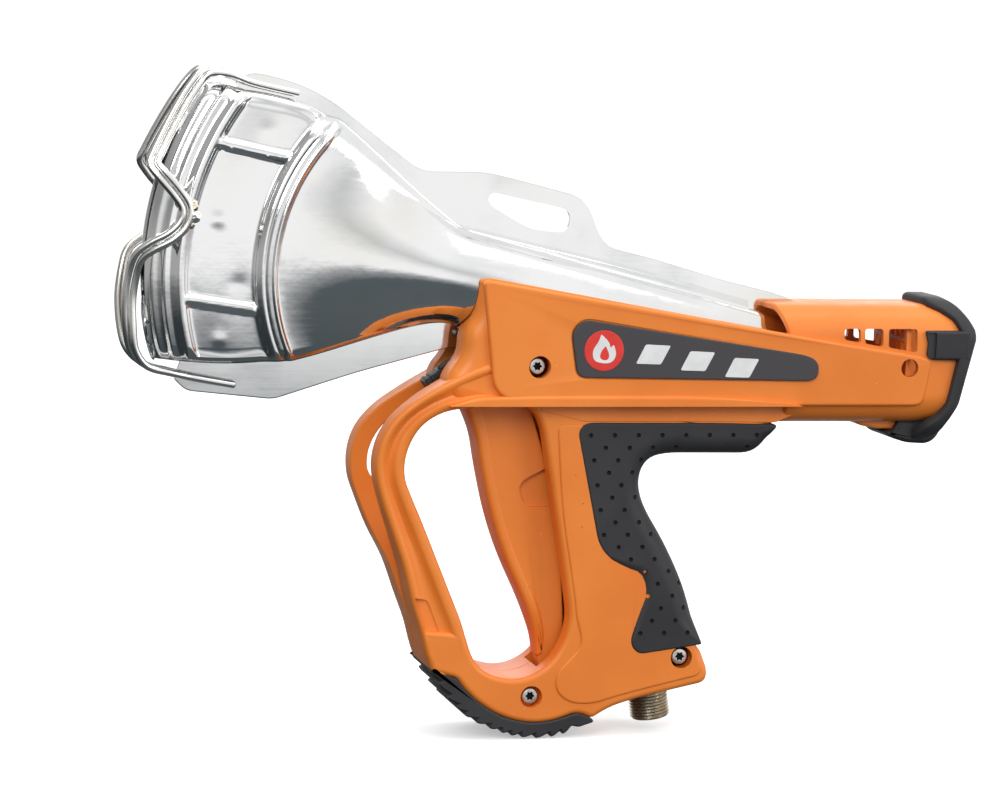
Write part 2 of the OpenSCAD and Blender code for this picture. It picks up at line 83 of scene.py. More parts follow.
world = bpy.data.worlds.new("studio")
bpy.context.scene.world = world
world.use_nodes = True
sky = world.node_tree
around = sky.nodes.new("ShaderNodeTexCoord").outputs["Generated"]
direction = tree_node(sky, "ShaderNodeSeparateXYZ", i0=around).outputs
height = tree_node(sky, "ShaderNodeMapRange", Value=direction["Z"], From_Min=-1, From_Max=1)
walls = tree_node(sky, "ShaderNodeValToRGB", Fac=height.outputs["Result"])
while len(walls.color_ramp.elements) < 7:
    walls.color_ramp.elements.new(0.5)
for stop, (z, r, g, b) in zip(walls.color_ramp.elements, (
        (-1.0, 0.10, 0.115, 0.12), (-0.32, 0.09, 0.11, 0.12), (-0.2, 0.38, 0.39, 0.40),
        (-0.115, 1.0, 1.0, 1.0),
        (0.03, 0.98, 0.98, 0.97), (0.2, 0.64, 0.65, 0.65), (0.45, 1.0, 1.0, 1.0))):
    stop.position, stop.color = (z + 1) / 2, (r, g, b, 1)
left_wall = tree_node(
    sky, "ShaderNodeMapRange", Value=direction["X"], From_Min=-0.5, From_Max=-0.04, To_Min=0.4, To_Max=1.0)
shaded = tree_node(sky, "ShaderNodeVectorMath", (("operation", "SCALE"),),
                   i0=walls.outputs["Color"], Scale=left_wall.outputs["Result"])
# A white backdrop stands behind the gun, from its middle to the right
backdrop = tree_node(sky, "ShaderNodeMapRange", Value=direction["Y"], From_Min=0.55, From_Max=0.8)
right_of_gun = tree_node(sky, "ShaderNodeMapRange", Value=direction["X"], From_Min=-0.04, From_Max=0.07)
both = tree_node(sky, "ShaderNodeMath", (("operation", "MULTIPLY"),),
                 i0=backdrop.outputs["Result"], i1=right_of_gun.outputs["Result"])
behind = tree_node(sky, "ShaderNodeMix", (("data_type", "RGBA"),), Factor=both.outputs["Value"],
                   i6=shaded.outputs["Vector"], i7=(1.05, 1.05, 1.05, 1))
sky.links.new(behind.outputs[2], sky.nodes["Background"].inputs["Color"])
bpy.context.scene.view_settings.view_transform = "Standard"


def softbox(name, place, target, width, height, power):
    bpy.ops.object.select_all(action="DESELECT")
    bpy.ops.object.light_add(type="AREA", location=place)
    lamp = bpy.context.object
    lamp.name = name
    lamp.data.shape, lamp.data.size, lamp.data.size_y, lamp.data.energy = "RECTANGLE", width, height, power
    lamp.rotation_euler = (Vector(target) - Vector(place)).to_track_quat("-Z", "Y").to_euler()
    return lamp


softbox("overhead", (-0.1, -0.15, 1.5), (-0.05, 0, 0.12), 1.6, 1.2, 9)
softbox("front_left", (-0.9, -1.4, 1.0), (-0.05, 0, 0.12), 0.9, 0.9, 13)
softbox("front_right", (1.2, -1.2, 0.7), (0.0, 0, 0.12), 0.7, 0.9, 7)
softbox("behind", (0.3, 1.6, 0.9), (-0.05, 0, 0.12), 1.4, 1.0, 5)

bpy.ops.object.select_all(action="DESELECT")
bpy.ops.mesh.primitive_plane_add(size=60, location=(0, 0, cad_box[0].z - 0.0005))
floor = bpy.context.object
floor.name = "floor"
floor.visible_diffuse = floor.visible_glossy = False
floor_paint = bpy.data.materials.new("floor_paint")
floor_paint.use_nodes = True
for socket, value in (("Base Color", (0.8, 0.8, 0.8, 1)), ("Roughness", 0.9),
                      ("Emission Color", (1, 1, 1, 1)), ("Emission Strength", 0.42)):
    floor_paint.node_tree.nodes["Principled BSDF"].inputs[socket].default_value = value
floor.data.materials.append(floor_paint)

# ---- Moulded shells
# Two half shells of orange glass-filled plastic, screwed together on the parting plane.
# Each carries half of the casing, the grip, the hand guard and the tail's sleeve, with rounded rims.
MM = 0.001


def rounded(corners, steps=5):
    """Corners (x, z, cut) in mm as a smooth outline: a curve starts and ends `cut` from each corner."""
    points = []
    for i, (x, z, cut) in enumerate(corners):
        here = Vector((x, z))
        before, after = Vector(corners[i - 1][:2]), Vector(corners[(i + 1) % len(corners)][:2])
        a = here + (before - here) * min(0.5, cut / (before - here).length)
        b = here + (after - here) * min(0.5, cut / (after - here).length)
        for k in range(steps + 1):
            t = k / steps
            q = a * (1 - t) ** 2 + here * (2 * t * (1 - t)) + b * t * t
            if not points or (q - points[-1]).length > 0.08:
                points.append(q)
    if (points[0] - points[-1]).length < 0.08:
        points.pop()
    return points


def loft(name, rings, ring_closed=True, capped=True, around_closed=False):
    """A grid whose rows are laid on the rings, its open ends filled."""
    rings = [ring + ring[:1] if ring_closed else ring for ring in rings]
    if around_closed:
        rings = rings + rings[:1]
    bpy.ops.object.select_all(action="DESELECT")
    bpy.ops.mesh.primitive_grid_add(x_subdivisions=len(rings[0]) - 1, y_subdivisions=len(rings) - 1, size=1)
    piece = bpy.context.object
    piece.name = name
    piece.data.vertices.foreach_set("co", [c * MM for ring in rings for point in ring for c in point])
    bpy.ops.object.mode_set(mode="EDIT")
    bpy.ops.mesh.select_all(action="SELECT")
    bpy.ops.mesh.remove_doubles(threshold=0.00001)
    if capped:
        bpy.ops.mesh.fill_holes(sides=0)
    bpy.ops.mesh.select_all(action="SELECT")
    bpy.ops.mesh.normals_make_consistent(inside=False)
    bpy.ops.object.mode_set(mode="OBJECT")
    return piece


def inset(outline, amounts):
    """The outline moved inwards, by its own amount at each point."""
    n = len(outline)
    area = sum(outline[i - 1].x * outline[i].y - outline[i].x * outline[i - 1].y for i in range(n))
    turn = 1 if area > 0 else -1
    moved = []
    for i, p in enumerate(outline):
        a, b = (p - outline[i - 1]).normalized(), (outline[(i + 1) % n] - p).normalized()
        m = Vector((-a.y - b.y, a.x + b.x)) * turn / max(0.5, 1 + a.dot(b))
        moved.append(p + m * amounts[i])
    for attempt in range(12):  # a tight corner that folded over itself is drawn together
        folded = [(moved[(i + 1) % n] - moved[i]).dot(outline[(i + 1) % n] - outline[i]) < 0
                  for i in range(n)]
        if not any(folded) or all(folded):
            break
        start = folded.index(False)
        run = []
        for k in range(start, start + n + 1):
            i = k % n
            if folded[i]:
                run.append(i)
            elif run:
                members = run + [i]
                centre = sum((moved[j] for j in members), Vector((0, 0))) / len(members)
                for j in members:
                    moved[j] = centre.copy()
                run = []
    return moved


def moulded(name, outline, y0, y1, rim=1.0, foot=0.0, steps=5):
    """A slab from y0 out to y1 with a rounded outer rim. y1 and rim may be functions of x and z."""
    face = y1 if callable(y1) else lambda x, z: y1
    radius = [rim(*p) if callable(rim) else rim for p in outline]
    out = 1 if face(*outline[0]) > y0 else -1
    rings = []
    if foot:
        rings.append([(p.x, y0, p.y) for p in inset(outline, [foot] * len(outline))])
    rings.append([(p.x, y0 + out * foot, p.y) for p in outline])
    for k in range(steps + 1):
        t = math.pi / 2 * k / steps
        ring = inset(outline, [r * (1 - math.cos(t)) for r in radius])
        rings.append([(p.x, face(*p) - out * r * (1 - math.sin(t)), p.y) for p, r in zip(ring, radius)])
    ring = inset(outline, [r + 0.35 for r in radius])
    rings.append([(p.x, face(*p), p.y) for p in ring])
    return loft(name, rings)


def apply_boolean(piece, cutter, operation="DIFFERENCE"):
    bpy.ops.object.select_all(action="DESELECT")
    bpy.context.view_layer.objects.active = piece
    piece.select_set(True)
    change = piece.modifiers.new("cut", "BOOLEAN")
    change.operation, change.solver, change.object = operation, "EXACT", cutter
    bpy.ops.object.modifier_apply(modifier=change.name)


def discard(*pieces):
    for piece in pieces:
        bpy.data.objects.remove(piece)


def join(name, pieces):
    bpy.ops.object.select_all(action="DESELECT")
    for piece in pieces:
        piece.select_set(True)
    bpy.context.view_layer.objects.active = pieces[0]
    bpy.ops.object.join()
    pieces[0].name = name
    return pieces[0]


def smooth(piece, angle=32):
    bpy.ops.object.select_all(action="DESELECT")
    bpy.context.view_layer.objects.active = piece
    piece.select_set(True)
    bpy.ops.object.shade_smooth_by_angle(angle=math.radians(angle))


def place(piece, slot, body, *cad):
    """Gives a finished piece the body it rides on and hides the CAD nodes it stands for; the slot is not
    used.
    """
    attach(piece, body)
    if cad:
        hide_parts(*cad)
    return piece


def rod(name, x, z, y0, y1, r, sides=40):
    """A cylinder along Y, for cutting."""
    circle = [(x + r * math.cos(2 * math.pi * k / sides),
               z + r * math.sin(2 * math.pi * k / sides)) for k in range(sides)]
    return loft(name, [[(px, y, pz) for px, pz in circle] for y in (y0, y1)])


def step(x, low, high):
    t = min(1.0, max(0.0, (x - low) / (high - low)))
    return t * t * (3 - 2 * t)


tube_slope = math.radians(14.4)
tube_radius, trough_radius = 19.5, 20.3
channel_half, hollow_half = 10.4, 13.6
casing_half, panel_half, base_half, grip_half = 23.4, 26.0, 19, 19.6
counterbore_radius = 4.6
throat = Vector((-87, 0, 184))
tube_run = Vector((math.cos(tube_slope), 0, -math.sin(tube_slope)))
tube_up = Vector((math.sin(tube_slope), 0, math.cos(tube_slope)))
screw_places = [(-58.8, 150, 22.4), (-56.7, 13, 17.4), (6.9, 28.5, 17.8)]
plate_corners = [
    (-41, 169.5, 4), (55.5, 155.1, 5), (60, 152.4, 4), (60, 146.5, 3.4), (57, 144.5, 3), (-41, 145.8, 2.5),
    (-43.2, 147.6, 2), (-45.9, 164.6, 4)]
pad_corners = [
    (-40.4, 123.3, 3), (-37, 126.6, 4), (20, 126.4, 3), (45.3, 125.8, 2), (40.4, 117.7, 5), (34.6, 113.2, 5),
    (-4, 113.2, 9), (-10.6, 109.2, 9), (-12.7, 101, 9), (-10, 91.2, 9), (-1.2, 77.6, 20), (7, 61.4, 20),
    (11, 50, 20), (15.6, 33.9, 1), (-11.6, 30.2, 2.6), (-15.2, 34, 2.6), (-13, 60.4, 6), (-29.8, 74.6, 6)]

cheek = rounded([
    (-84.5, 184.7, 1.4), (-80, 185.9, 1), (38, 165.4, 0), (38, 134, 0), (-60, 134, 0), (-92, 134, 3),
    (-97, 139, 4),
    (-96, 146.4, 4), (-89.6, 154, 5), (-89.6, 164, 5), (-84.8, 171, 5)])
panel = rounded([
    (-82.9, 185.5, 3.2), (38, 165.35, 0), (70, 160.1, 0), (104, 154.9, 7), (110.6, 153.3, 2.4),
    (107.4, 136, 4),
    (104.8, 133.9, 3), (-66, 134.4, 5), (-77.6, 139.6, 6)])
bead = rounded([
    (-96, 133.9, 1), (-84, 137.9, 4), (-60, 138.5, 8), (10, 138.4, 12), (50, 135.2, 4), (54, 133.9, 1)])
base = rounded([
    (-100.5, 29, 2), (-98.6, 24, 1.5), (-88, 21.2, 2), (-85.7, 17.4, 9), (-78.8, 10.6, 9), (-68.9, 4.6, 9),
    (-57, 1.6, 9),
    (-46.3, 2.6, 9), (-37, 6.2, 4), (-30.6, 3.3, 2), (-22.5, 8.1, 5), (-12, 11.2, 6), (5.9, 15.1, 6),
    (17.8, 17.6, 3),
    (19, 22, 3), (15.8, 31, 1), (13.6, 34, 1), (9, 51, 9), (4.9, 62, 9), (-2.8, 78.5, 9), (-10.9, 90.4, 9),
    (-14, 100.6, 9),
    (-12, 109.6, 7), (-6, 115, 7), (33.2, 115, 4), (39.2, 118.6, 4), (44.6, 125.4, 3), (47, 134, 1),
    (-63.5, 134.2, 1),
    (-58, 130.6, 4), (-54.6, 124, 5), (-49.1, 92, 20), (-45, 70, 12), (-41.8, 52, 9), (-41.2, 44, 6),
    (-43.4, 35, 6),
    (-48.8, 26.8, 6), (-56.6, 21.6, 6), (-65, 20.1, 6), (-74, 22.4, 4), (-79.4, 26, 3), (-82.2, 30.4, 4),
    (-85.4, 40, 1),
    (-103.8, 41, 1)])
grip_face = rounded([
    (-38.7, 46, 1), (-35.6, 34.6, 5), (-40.6, 29, 5), (-47, 22.6, 5), (-46.6, 14.8, 5), (-40, 9.8, 5),
    (-30, 9.6, 6),
    (-22.5, 12, 6), (-12, 14.6, 5), (4, 18.3, 5), (14.6, 20.6, 2.5), (15.8, 23.4, 2), (12.4, 34.4, 2),
    (-10, 34, 1),
    (-9, 60, 3), (-28, 78, 3), (-38, 126, 2), (-49, 126, 4), (-46.4, 92, 20), (-42.5, 70, 12),
    (-39.6, 54, 6)])
# Each row of a guard leg: outer x, z; inner x, z; inside and outside half width. The left leg is broad; the
# right one is slimmer and stands further out.
loop_wall = {
    -1: [(-80, 151, -66, 134.4, 8, 24.6), (-88, 147.8, -80, 133.9, 8, 24.4),
         (-98, 142.6, -88.5, 132.8, 8, 23.2),
         (-107.8, 136.2, -97, 130.8, 8, 21.4), (-116.4, 128.8, -104.4, 126.2, 8, 20.2),
         (-121.8, 120.6, -109.2, 119.6, 8, 19.6),
         (-124.2, 111.4, -111.8, 111.6, 8, 19.4), (-123.6, 102.6, -111.6, 103.6, 8, 19.2),
         (-120.7, 92.4, -108.4, 95.4, 7.6, 19),
         (-116.4, 80.4, -103.6, 84.6, 5.5, 19), (-111.6, 67, -97.8, 70.8, 2.6, 19),
         (-107.6, 52, -92, 57, 0.2, 19),
         (-103.6, 40, -86.6, 44, 0.2, 19), (-100.4, 29, -82.4, 31, 0.2, 19), (-96, 22, -77, 24, 0.2, 18.6)],
    1: [(-80, 151, -66, 134.4, 8, 24.6), (-88, 147.8, -80, 134.2, 8, 24.4),
        (-98.4, 142.4, -90, 134.2, 8, 23.2),
        (-109, 136.4, -102, 131.2, 8, 21.4), (-118.8, 129.6, -112.6, 125.6, 8, 20.2),
        (-126, 121.2, -118.8, 118.8, 8, 19.6),
        (-129.2, 111.4, -122, 110.6, 8, 19.4), (-129, 101.6, -121, 102.2, 8, 19.2),
        (-125.8, 91.9, -112.6, 95.6, 7.6, 19),
        (-120.4, 79.2, -104.4, 84.6, 5.5, 19), (-113.6, 66.4, -97.8, 70.8, 2.6, 19),
        (-108.2, 52, -92, 57, 0.2, 19),
        (-103.6, 40, -86.6, 44, 0.2, 19), (-100.4, 29, -82.4, 31, 0.2, 19), (-96, 22, -77, 24, 0.2, 18.6)]}


def between(rows, fraction):
    """Catmull-Rom between rows of numbers, fraction running from 0 to 1 along them."""
    s = fraction * (len(rows) - 1)
    i = min(int(s), len(rows) - 2)
    t = s - i
    p0, p1, p2, p3 = (rows[max(0, min(len(rows) - 1, i + k))] for k in (-1, 0, 1, 2))
    return tuple(
        0.5 * (2 * b + (c - a) * t + (2 * a - 5 * b + 4 * c - d) * t * t + (3 * b - a - 3 * c + d) * t ** 3)
        for a, b, c, d in zip(p0, p1, p2, p3))


def guard_leg(side):
    """One leg of the guard: an outer bead, a channel and the broad inner bead, swept round the loop."""
    rings = []
    for k in range(57):
        ox, oz, ix, iz, low, high = between(loop_wall[side], k / 56)
        outer, inner = Vector((ox, oz)), Vector((ix, iz))
        width = (inner - outer).length
        across = (inner - outer) / width
        scale = min(1.0, width / 13)
        width /= scale
        profile = [
            (0, 2.6), (0.15, 1.3), (0.6, 0.5), (1.3, 0.08), (2.2, 0), (3.0, 0.15), (3.9, 0.8), (4.8, 1.7),
            (6, 2.2),
            (width - 7.4, 2.3), (width - 6.2, 1.9), (width - 5.2, 0.9), (width - 4.6, 0.25), (width - 3.8, 0),
            (width - 1.9, 0.05), (width - 0.8, 0.5), (width - 0.2, 1.3), (width, 2.4)]
        ring = [(outer + across * d * scale, high - depth) for d, depth in profile]
        ring += [(inner, low + 0.6), (inner - across * 0.6, low), (outer + across * 0.6, low),
                 (outer, low + 0.6)]
        rings.append([(p.x, side * y, p.y) for p, y in ring])
    return loft("guard_leg", rings)


def tail_half(side):
    """The tail's sleeve: a walled, rounded section with a slanted front lip and its rear under the bumper."""
    def section(shrink):
        half, r, points = 23.2 - shrink, 13 - shrink, [(0.0, 175.5 - shrink)]
        for cz, a0 in ((162.5, 90), (139, 0)):
            for k in range(11):
                a = math.radians(a0 - 9 * k)
                points.append((half - r + r * math.cos(a), cz + r * math.sin(a)))
        return points + [(0.0, 126 + shrink)]
    outside, inside, edge = section(0), section(2.6), section(0.7)
    rings = []
    for k in range(14):
        t = max(0, k - 1) / 12
        ring = []
        for j, (y, z) in enumerate((edge if k == 0 else outside) + inside[::-1]):
            front = 43.2 + 0.38 * min(12, max(0, 175.5 - z)) + (0.9 if k == 1 and j < 24 else 0)
            back = 125.4 - (0.055 * (z - 160) ** 2 if z > 160 else 0.0125 * max(0, 158 - z) ** 2)
            ring.append((front + (back - front) * t, side * y, z))
        rings.append(ring)
    return loft("tail", rings)


def window(x0, x1, top, sill0, sill1, side):
    corners = [(x0, top, 1.4), (x1, top, 1.4), (x1 + 0.1, sill1, 1.4), (x0 + 0.1, sill0, 1.4)]
    return loft("window", [[(p.x, side * y, p.y) for p in rounded(corners)] for y in (16, 30)])


def half_shell(side):
    cheek_part = moulded("cheek", cheek, 0, side * casing_half, lambda x,
                         z: 0.4 + 6.6 * (1 - step(x, -86, -79)), 0.25)
    panel_part = moulded(
        "panel", panel, side * 21.5, lambda x, z: side * (panel_half - 2.1 * step(x, 40, 112)), 1.1)
    bead_part = moulded(
        "bead", bead, side * 22, side * 26.5, lambda x,
        z: 0.15 + 1.3 * step(x, -96, -84) * (1 - step(x, 5, 40)))

    def base_rim(x, z):
        rear = step(x, -22, -14) * step(z, 24, 44) * (1 - step(z, 124, 130))
        return 2.2 + 6.0 * rear
    base_part = moulded("base", base, 0, side * base_half, base_rim, 0.25, 7)
    bridge_part = moulded("bridge", rounded([
        (-56, 131.6, 0), (-38, 127.1, 0), (20, 126.9, 0), (44.4, 126.5, 2), (51, 129.4, 3), (59, 132, 4),
        (71, 133.8, 4), (86, 134.4, 1), (86, 138, 0),
        (-56, 138, 0)]), side * 11.5, lambda x, z: side * (19.3 - 0.8 * step(x, 40, 80)), 0.25)
    face_part = moulded("grip_face", grip_face, side * 16, side * grip_half, 0.9)
    guard_part = guard_leg(side)
    tail_part = tail_half(side)
    latch_part = moulded("latch", rounded([
        (80, 127.6, 0.5), (84, 124.2, 2), (92, 122.7, 2), (101, 122.4, 1), (102, 127.6, 0.5)]), 0, side * 10,
        1.2)

    # The trough of the burner tube, the trigger's channel and the hollow grip behind it
    trough = loft("trough", [[
        tuple(throat + tube_run * s + tube_up * (trough_radius * math.cos(math.pi * k / 32)) + Vector((0,
            trough_radius * math.sin(math.pi * k / 32), 0)))
        for k in range(64)] for s in (-30, 150)])
    for part in (cheek_part, base_part, tail_part):
        apply_boolean(part, trough)
    channel = loft("channel", [[(p.x, y, p.y) for p in rounded([
        (-52.5, 12.5, 2), (-48.5, 8.5, 1), (-41.5, 8.3, 1), (-37.4, 12, 1), (-36, 20, 1), (-35.4, 60, 3),
        (-34, 110, 3), (-32, 131, 1), (-32, 143.6, 1), (-90, 143.6, 1), (-90, 133, 0),
        (-64, 133, 0), (-64, 60, 0), (-64, 28, 1), (-52.9, 28, 0)])] for y in (-channel_half, channel_half)])
    for part in (base_part, cheek_part, guard_part):
        apply_boolean(part, channel)
    hollow = loft("hollow", [[(p.x, y, p.y) for p in rounded([
        (-47, 128, 1), (-43, 100, 3), (-38, 60, 3), (-36, 36, 2), (-35, 20, 2), (-31, 13.5, 1),
        (-26, 13.5, 1), (-12, 15.6, 1),
        (4, 19, 1), (13.4, 21.4, 1), (10.4, 34, 3), (6, 50, 3), (2, 60, 3), (-5.6, 76, 3), (-13.2, 88, 3),
        (-17, 95.5, 3),
        (-17.2, 104, 3), (-14.2, 112, 3), (-8, 118, 2), (30, 118, 2), (35, 123, 1), (20, 131, 1),
        (-32, 131, 1)])] for y in (-hollow_half, hollow_half)])
    apply_boolean(base_part, hollow)
    inside = loft("inside", [[(p.x, y, p.y) for p in rounded([
        (-81.5, 190, 0), (-81.5, 137, 1), (90, 137, 1), (90, 155, 1), (60, 160, 1)])] for y in (-21, 21)])
    apply_boolean(cheek_part, inside)
    wire_way = loft("wire_way", [[(x, y, z) for x,
                                  z in ((-100, 136), (-76, 136), (-76, 164), (-100, 164))] for y in (-8, 8)])
    apply_boolean(cheek_part, wire_way)
    pocket = loft("pocket", [[(p.x, side * y, p.y) for p in rounded([
        (-106.9, 55, 1), (-101, 53.6, 1.6), (-92.6, 33, 2), (-92.2, 28, 2.5), (-96.4, 27.4, 2),
        (-99.6, 33, 2)])] for y in (16.2, 25)])
    apply_boolean(guard_part, pocket)
    pad_seat = loft("pad_seat", [[(p.x, y, p.y) for p in rounded(pad_corners)] for y in (side * 19.05,
        side * 24)])
    apply_boolean(face_part, pad_seat)

    # The plate's recess has a chamfered border
    plate_hole = rounded(plate_corners)
    recess = loft("recess", [
        [(p.x, side * y, p.y) for p in inset(plate_hole, [-grow] * len(plate_hole))]
        for grow, y in ((0.5, 24.6), (0.5, 25.2), (0.9, 25.6), (2.2, 26.02), (2.2, 28))])
    apply_boolean(panel_part, recess)
    hole = rod("hole", 100.4, 149.8, side * 10, side * 30, 3.8)
    windows = [window(71.6, 78.6, 166, 161.4, 160.2, side), window(80.6, 88.6, 166, 159.8, 158.5, side),
               window(91, 103.6, 166, 158.2, 156.2, side)]
    for part in (panel_part, tail_part):
        for cutter in [hole] + windows:
            apply_boolean(part, cutter)
    bores = []
    if side < 0:
        for x, z, depth in screw_places:
            bores.append(rod("bore", x, z, -depth - 9, -depth + 4.2, counterbore_radius))
        for part, bore in ((panel_part, 0), (cheek_part, 0), (base_part, 1), (face_part, 2), (base_part, 2)):
            apply_boolean(part, bores[bore])
    discard(trough, channel, hollow, inside, wire_way, pocket, pad_seat, recess, hole, *windows, *bores)
    parts = [cheek_part, panel_part, bead_part, base_part, bridge_part, face_part, guard_part, tail_part,
             latch_part]
    for part in parts:
        smooth(part)
    return join("left_moulding" if side < 0 else "right_moulding", parts)


# Shader groups that several finishes share
def shader_group(name, inputs, outputs):
    group = bpy.data.node_groups.new(name, "ShaderNodeTree")
    for label, kind, value in inputs:
        socket = group.interface.new_socket(label, in_out="INPUT", socket_type=kind)
        if value is not None:
            socket.default_value = value
    for label, kind in outputs:
        group.interface.new_socket(label, in_out="OUTPUT", socket_type=kind)
    return group, group.nodes.new("NodeGroupInput"), group.nodes.new("NodeGroupOutput")


cloud_group, enter, leave = shader_group("cloudiness", [
    ("Vector", "NodeSocketVector", None), ("Scale", "NodeSocketFloat", 60.0),
    ("Detail", "NodeSocketFloat", 4.0),
    ("From", "NodeSocketFloat", 0.35), ("To", "NodeSocketFloat", 0.65)], [("Mask", "NodeSocketFloat")])
cloud = tree_node(cloud_group, "ShaderNodeTexNoise", Vector=enter.outputs["Vector"],
                  Scale=enter.outputs["Scale"], Detail=enter.outputs["Detail"])
ramp = tree_node(cloud_group, "ShaderNodeMapRange", (("interpolation_type", "SMOOTHSTEP"),),
                 Value=cloud.outputs["Fac"],
                 From_Min=enter.outputs["From"], From_Max=enter.outputs["To"])
cloud_group.links.new(ramp.outputs["Result"], leave.inputs["Mask"])

speck_group, enter, leave = shader_group("specks", [
    ("Vector", "NodeSocketVector", None), ("Scale", "NodeSocketFloat", 90.0),
    ("Size", "NodeSocketFloat", 0.05)],
    [("Mask", "NodeSocketFloat")])
cells = tree_node(speck_group, "ShaderNodeTexVoronoi", Vector=enter.outputs["Vector"],
                  Scale=enter.outputs["Scale"])
spot = tree_node(speck_group, "ShaderNodeMapRange", Value=cells.outputs["Distance"],
                 From_Min=enter.outputs["Size"], From_Max=0.0)
pick = tree_node(speck_group, "ShaderNodeMapRange", Value=tree_node(
    speck_group, "ShaderNodeTexNoise", Vector=enter.outputs["Vector"], Scale=37.0).outputs["Fac"],
    From_Min=0.56, From_Max=0.6)
both = tree_node(speck_group, "ShaderNodeMath", (("operation", "MULTIPLY"),), i0=spot.outputs["Result"],
                 i1=pick.outputs["Result"])
speck_group.links.new(both.outputs[0], leave.inputs["Mask"])

grain_group, enter, leave = shader_group("moulded_grain", [
    ("Vector", "NodeSocketVector", None), ("Scale", "NodeSocketFloat", 1500.0),
    ("Strength", "NodeSocketFloat", 0.1),
    ("Depth", "NodeSocketFloat", 0.0001)], [("Normal", "NodeSocketVector")])
fine = tree_node(grain_group, "ShaderNodeTexNoise", Vector=enter.outputs["Vector"],
                 Scale=enter.outputs["Scale"], Detail=3.0)
relief = tree_node(grain_group, "ShaderNodeBump", Height=fine.outputs["Fac"],
                   Strength=enter.outputs["Strength"], Distance=enter.outputs["Depth"])
grain_group.links.new(relief.outputs["Normal"], leave.inputs["Normal"])


def finish(name, color, roughness, **sockets):
    """A material with its shader and Object coordinates ready; returns tree, shader, coordinates too."""
    material = bpy.data.materials.new(name)
    material.use_nodes = True
    tree = material.node_tree
    shader = tree.nodes["Principled BSDF"]
    shader.inputs["Base Color"].default_value = (*color, 1)
    shader.inputs["Roughness"].default_value = roughness
    for key, value in sockets.items():
        shader.inputs[key.replace("_", " ")].default_value = value
    coords = tree.nodes.new("ShaderNodeTexCoord").outputs["Object"]
    return material, tree, shader, coords


def use_group(tree, group, **inputs):
    return tree_node(tree, "ShaderNodeGroup", (("node_tree", group),), **inputs)


def clouds(tree, coords, scale, detail, low, high):
    return use_group(
        tree, cloud_group, Vector=coords, Scale=scale, Detail=detail, From=low, To=high).outputs["Mask"]


def specks(tree, coords, scale, size):
    return use_group(tree, speck_group, Vector=coords, Scale=scale, Size=size).outputs["Mask"]


def add_grain(tree, shader, coords, scale, strength, depth):
    grain = use_group(tree, grain_group, Vector=coords, Scale=scale, Strength=strength, Depth=depth)
    tree.links.new(grain.outputs["Normal"], shader.inputs["Normal"])


def two_tone(tree, mask, first, second):
    """A colour that turns from the first to the second as the mask rises."""
    node = tree_node(tree, "ShaderNodeMix", (("data_type", "RGBA"),))
    tree.links.new(mask, node.inputs["Factor"])
    for socket, value in ((node.inputs[6], first), (node.inputs[7], second)):
        if isinstance(value, bpy.types.NodeSocket):
            tree.links.new(value, socket)
        else:
            socket.default_value = (*value, 1)
    return node.outputs[2]


def ranged(tree, mask, low, high):
    return tree_node(tree, "ShaderNodeMapRange", Value=mask, To_Min=low, To_Max=high).outputs["Result"]


orange, tree, shader, coords = finish("orange_moulding", (0.84, 0.235, 0.032), 0.42, Specular_IOR_Level=0.45)
cloudy = clouds(tree, coords, 22.0, 5.0, 0.3, 0.75)
flow = two_tone(tree, cloudy, (0.80, 0.205, 0.024), (0.87, 0.25, 0.036))
dust = specks(tree, coords, 130.0, 0.07)
grime = specks(tree, coords, 95.0, 0.05)
dusty = two_tone(tree, dust, flow, (0.93, 0.55, 0.28))
tree.links.new(two_tone(tree, grime, dusty, (0.22, 0.07, 0.02)), shader.inputs["Base Color"])
handled = clouds(tree, coords, 70.0, 6.0, 0.35, 0.7)
tree.links.new(ranged(tree, handled, 0.36, 0.5), shader.inputs["Roughness"])
add_grain(tree, shader, coords, 2600.0, 0.16, 0.00012)

for side, node in ((-1, "left_shell"), (1, "right_shell")):
    moulding = half_shell(side)
    moulding.data.materials.append(orange)
    place(moulding, "orange_plastic", "gun", node)

# ---- Tail bumper and intake grille
# A cap of soft black rubber is pressed over the tail's open end, with a claw on each side and one below.
# Air for the burner comes in through its mouth and the plastic grille behind it.
front_edge = [(117, 104), (125.4, 109.5), (128.6, 113.5), (134.5, 117), (143, 120.2), (151.5, 122.5),
              (158, 123.3),
              (164.5, 122.6), (170.5, 119.8), (174.5, 115), (177, 110.4), (180, 108.6)]
rear_edge = [(117, 114.2), (122, 118.6), (134, 124.8), (150, 129.1), (158, 131.7), (165.5, 131.6),
             (170, 129.2),
             (174, 126.2), (177, 123.6), (179, 119.4), (180, 118)]


def at_height(line, z):
    for (z0, x0), (z1, x1) in zip(line, line[1:]):
        if z <= z1:
            return x0 + (x1 - x0) * max(0, z - z0) / (z1 - z0)
    return line[-1][1]


def bumper_ring(shrink, share):
    ring, corner = [], 17.5
    half_y, half_z, mid = 26.2, 30.6, 148.3
    r = max(3.0, corner - shrink)
    for quarter in range(4):
        for k in range(12):
            a = math.radians(90 * quarter + 90 * k / 11)
            cy = (half_y - shrink - r) * (1 if quarter in (0, 3) else -1)
            cz = (half_z - shrink - r) * (1 if quarter < 2 else -1)
            outer_z = mid + (half_z - corner) * (1 if quarter < 2 else -1) + corner * math.sin(a)
            x0, x1 = at_height(front_edge, outer_z), at_height(rear_edge,
                outer_z) - 2.6 * (abs(cy + r * math.cos(a)) / 26) ** 3
            ring.append((x0 + (x1 - x0) * share, cy + r * math.cos(a), mid + cz + r * math.sin(a)))
    return ring


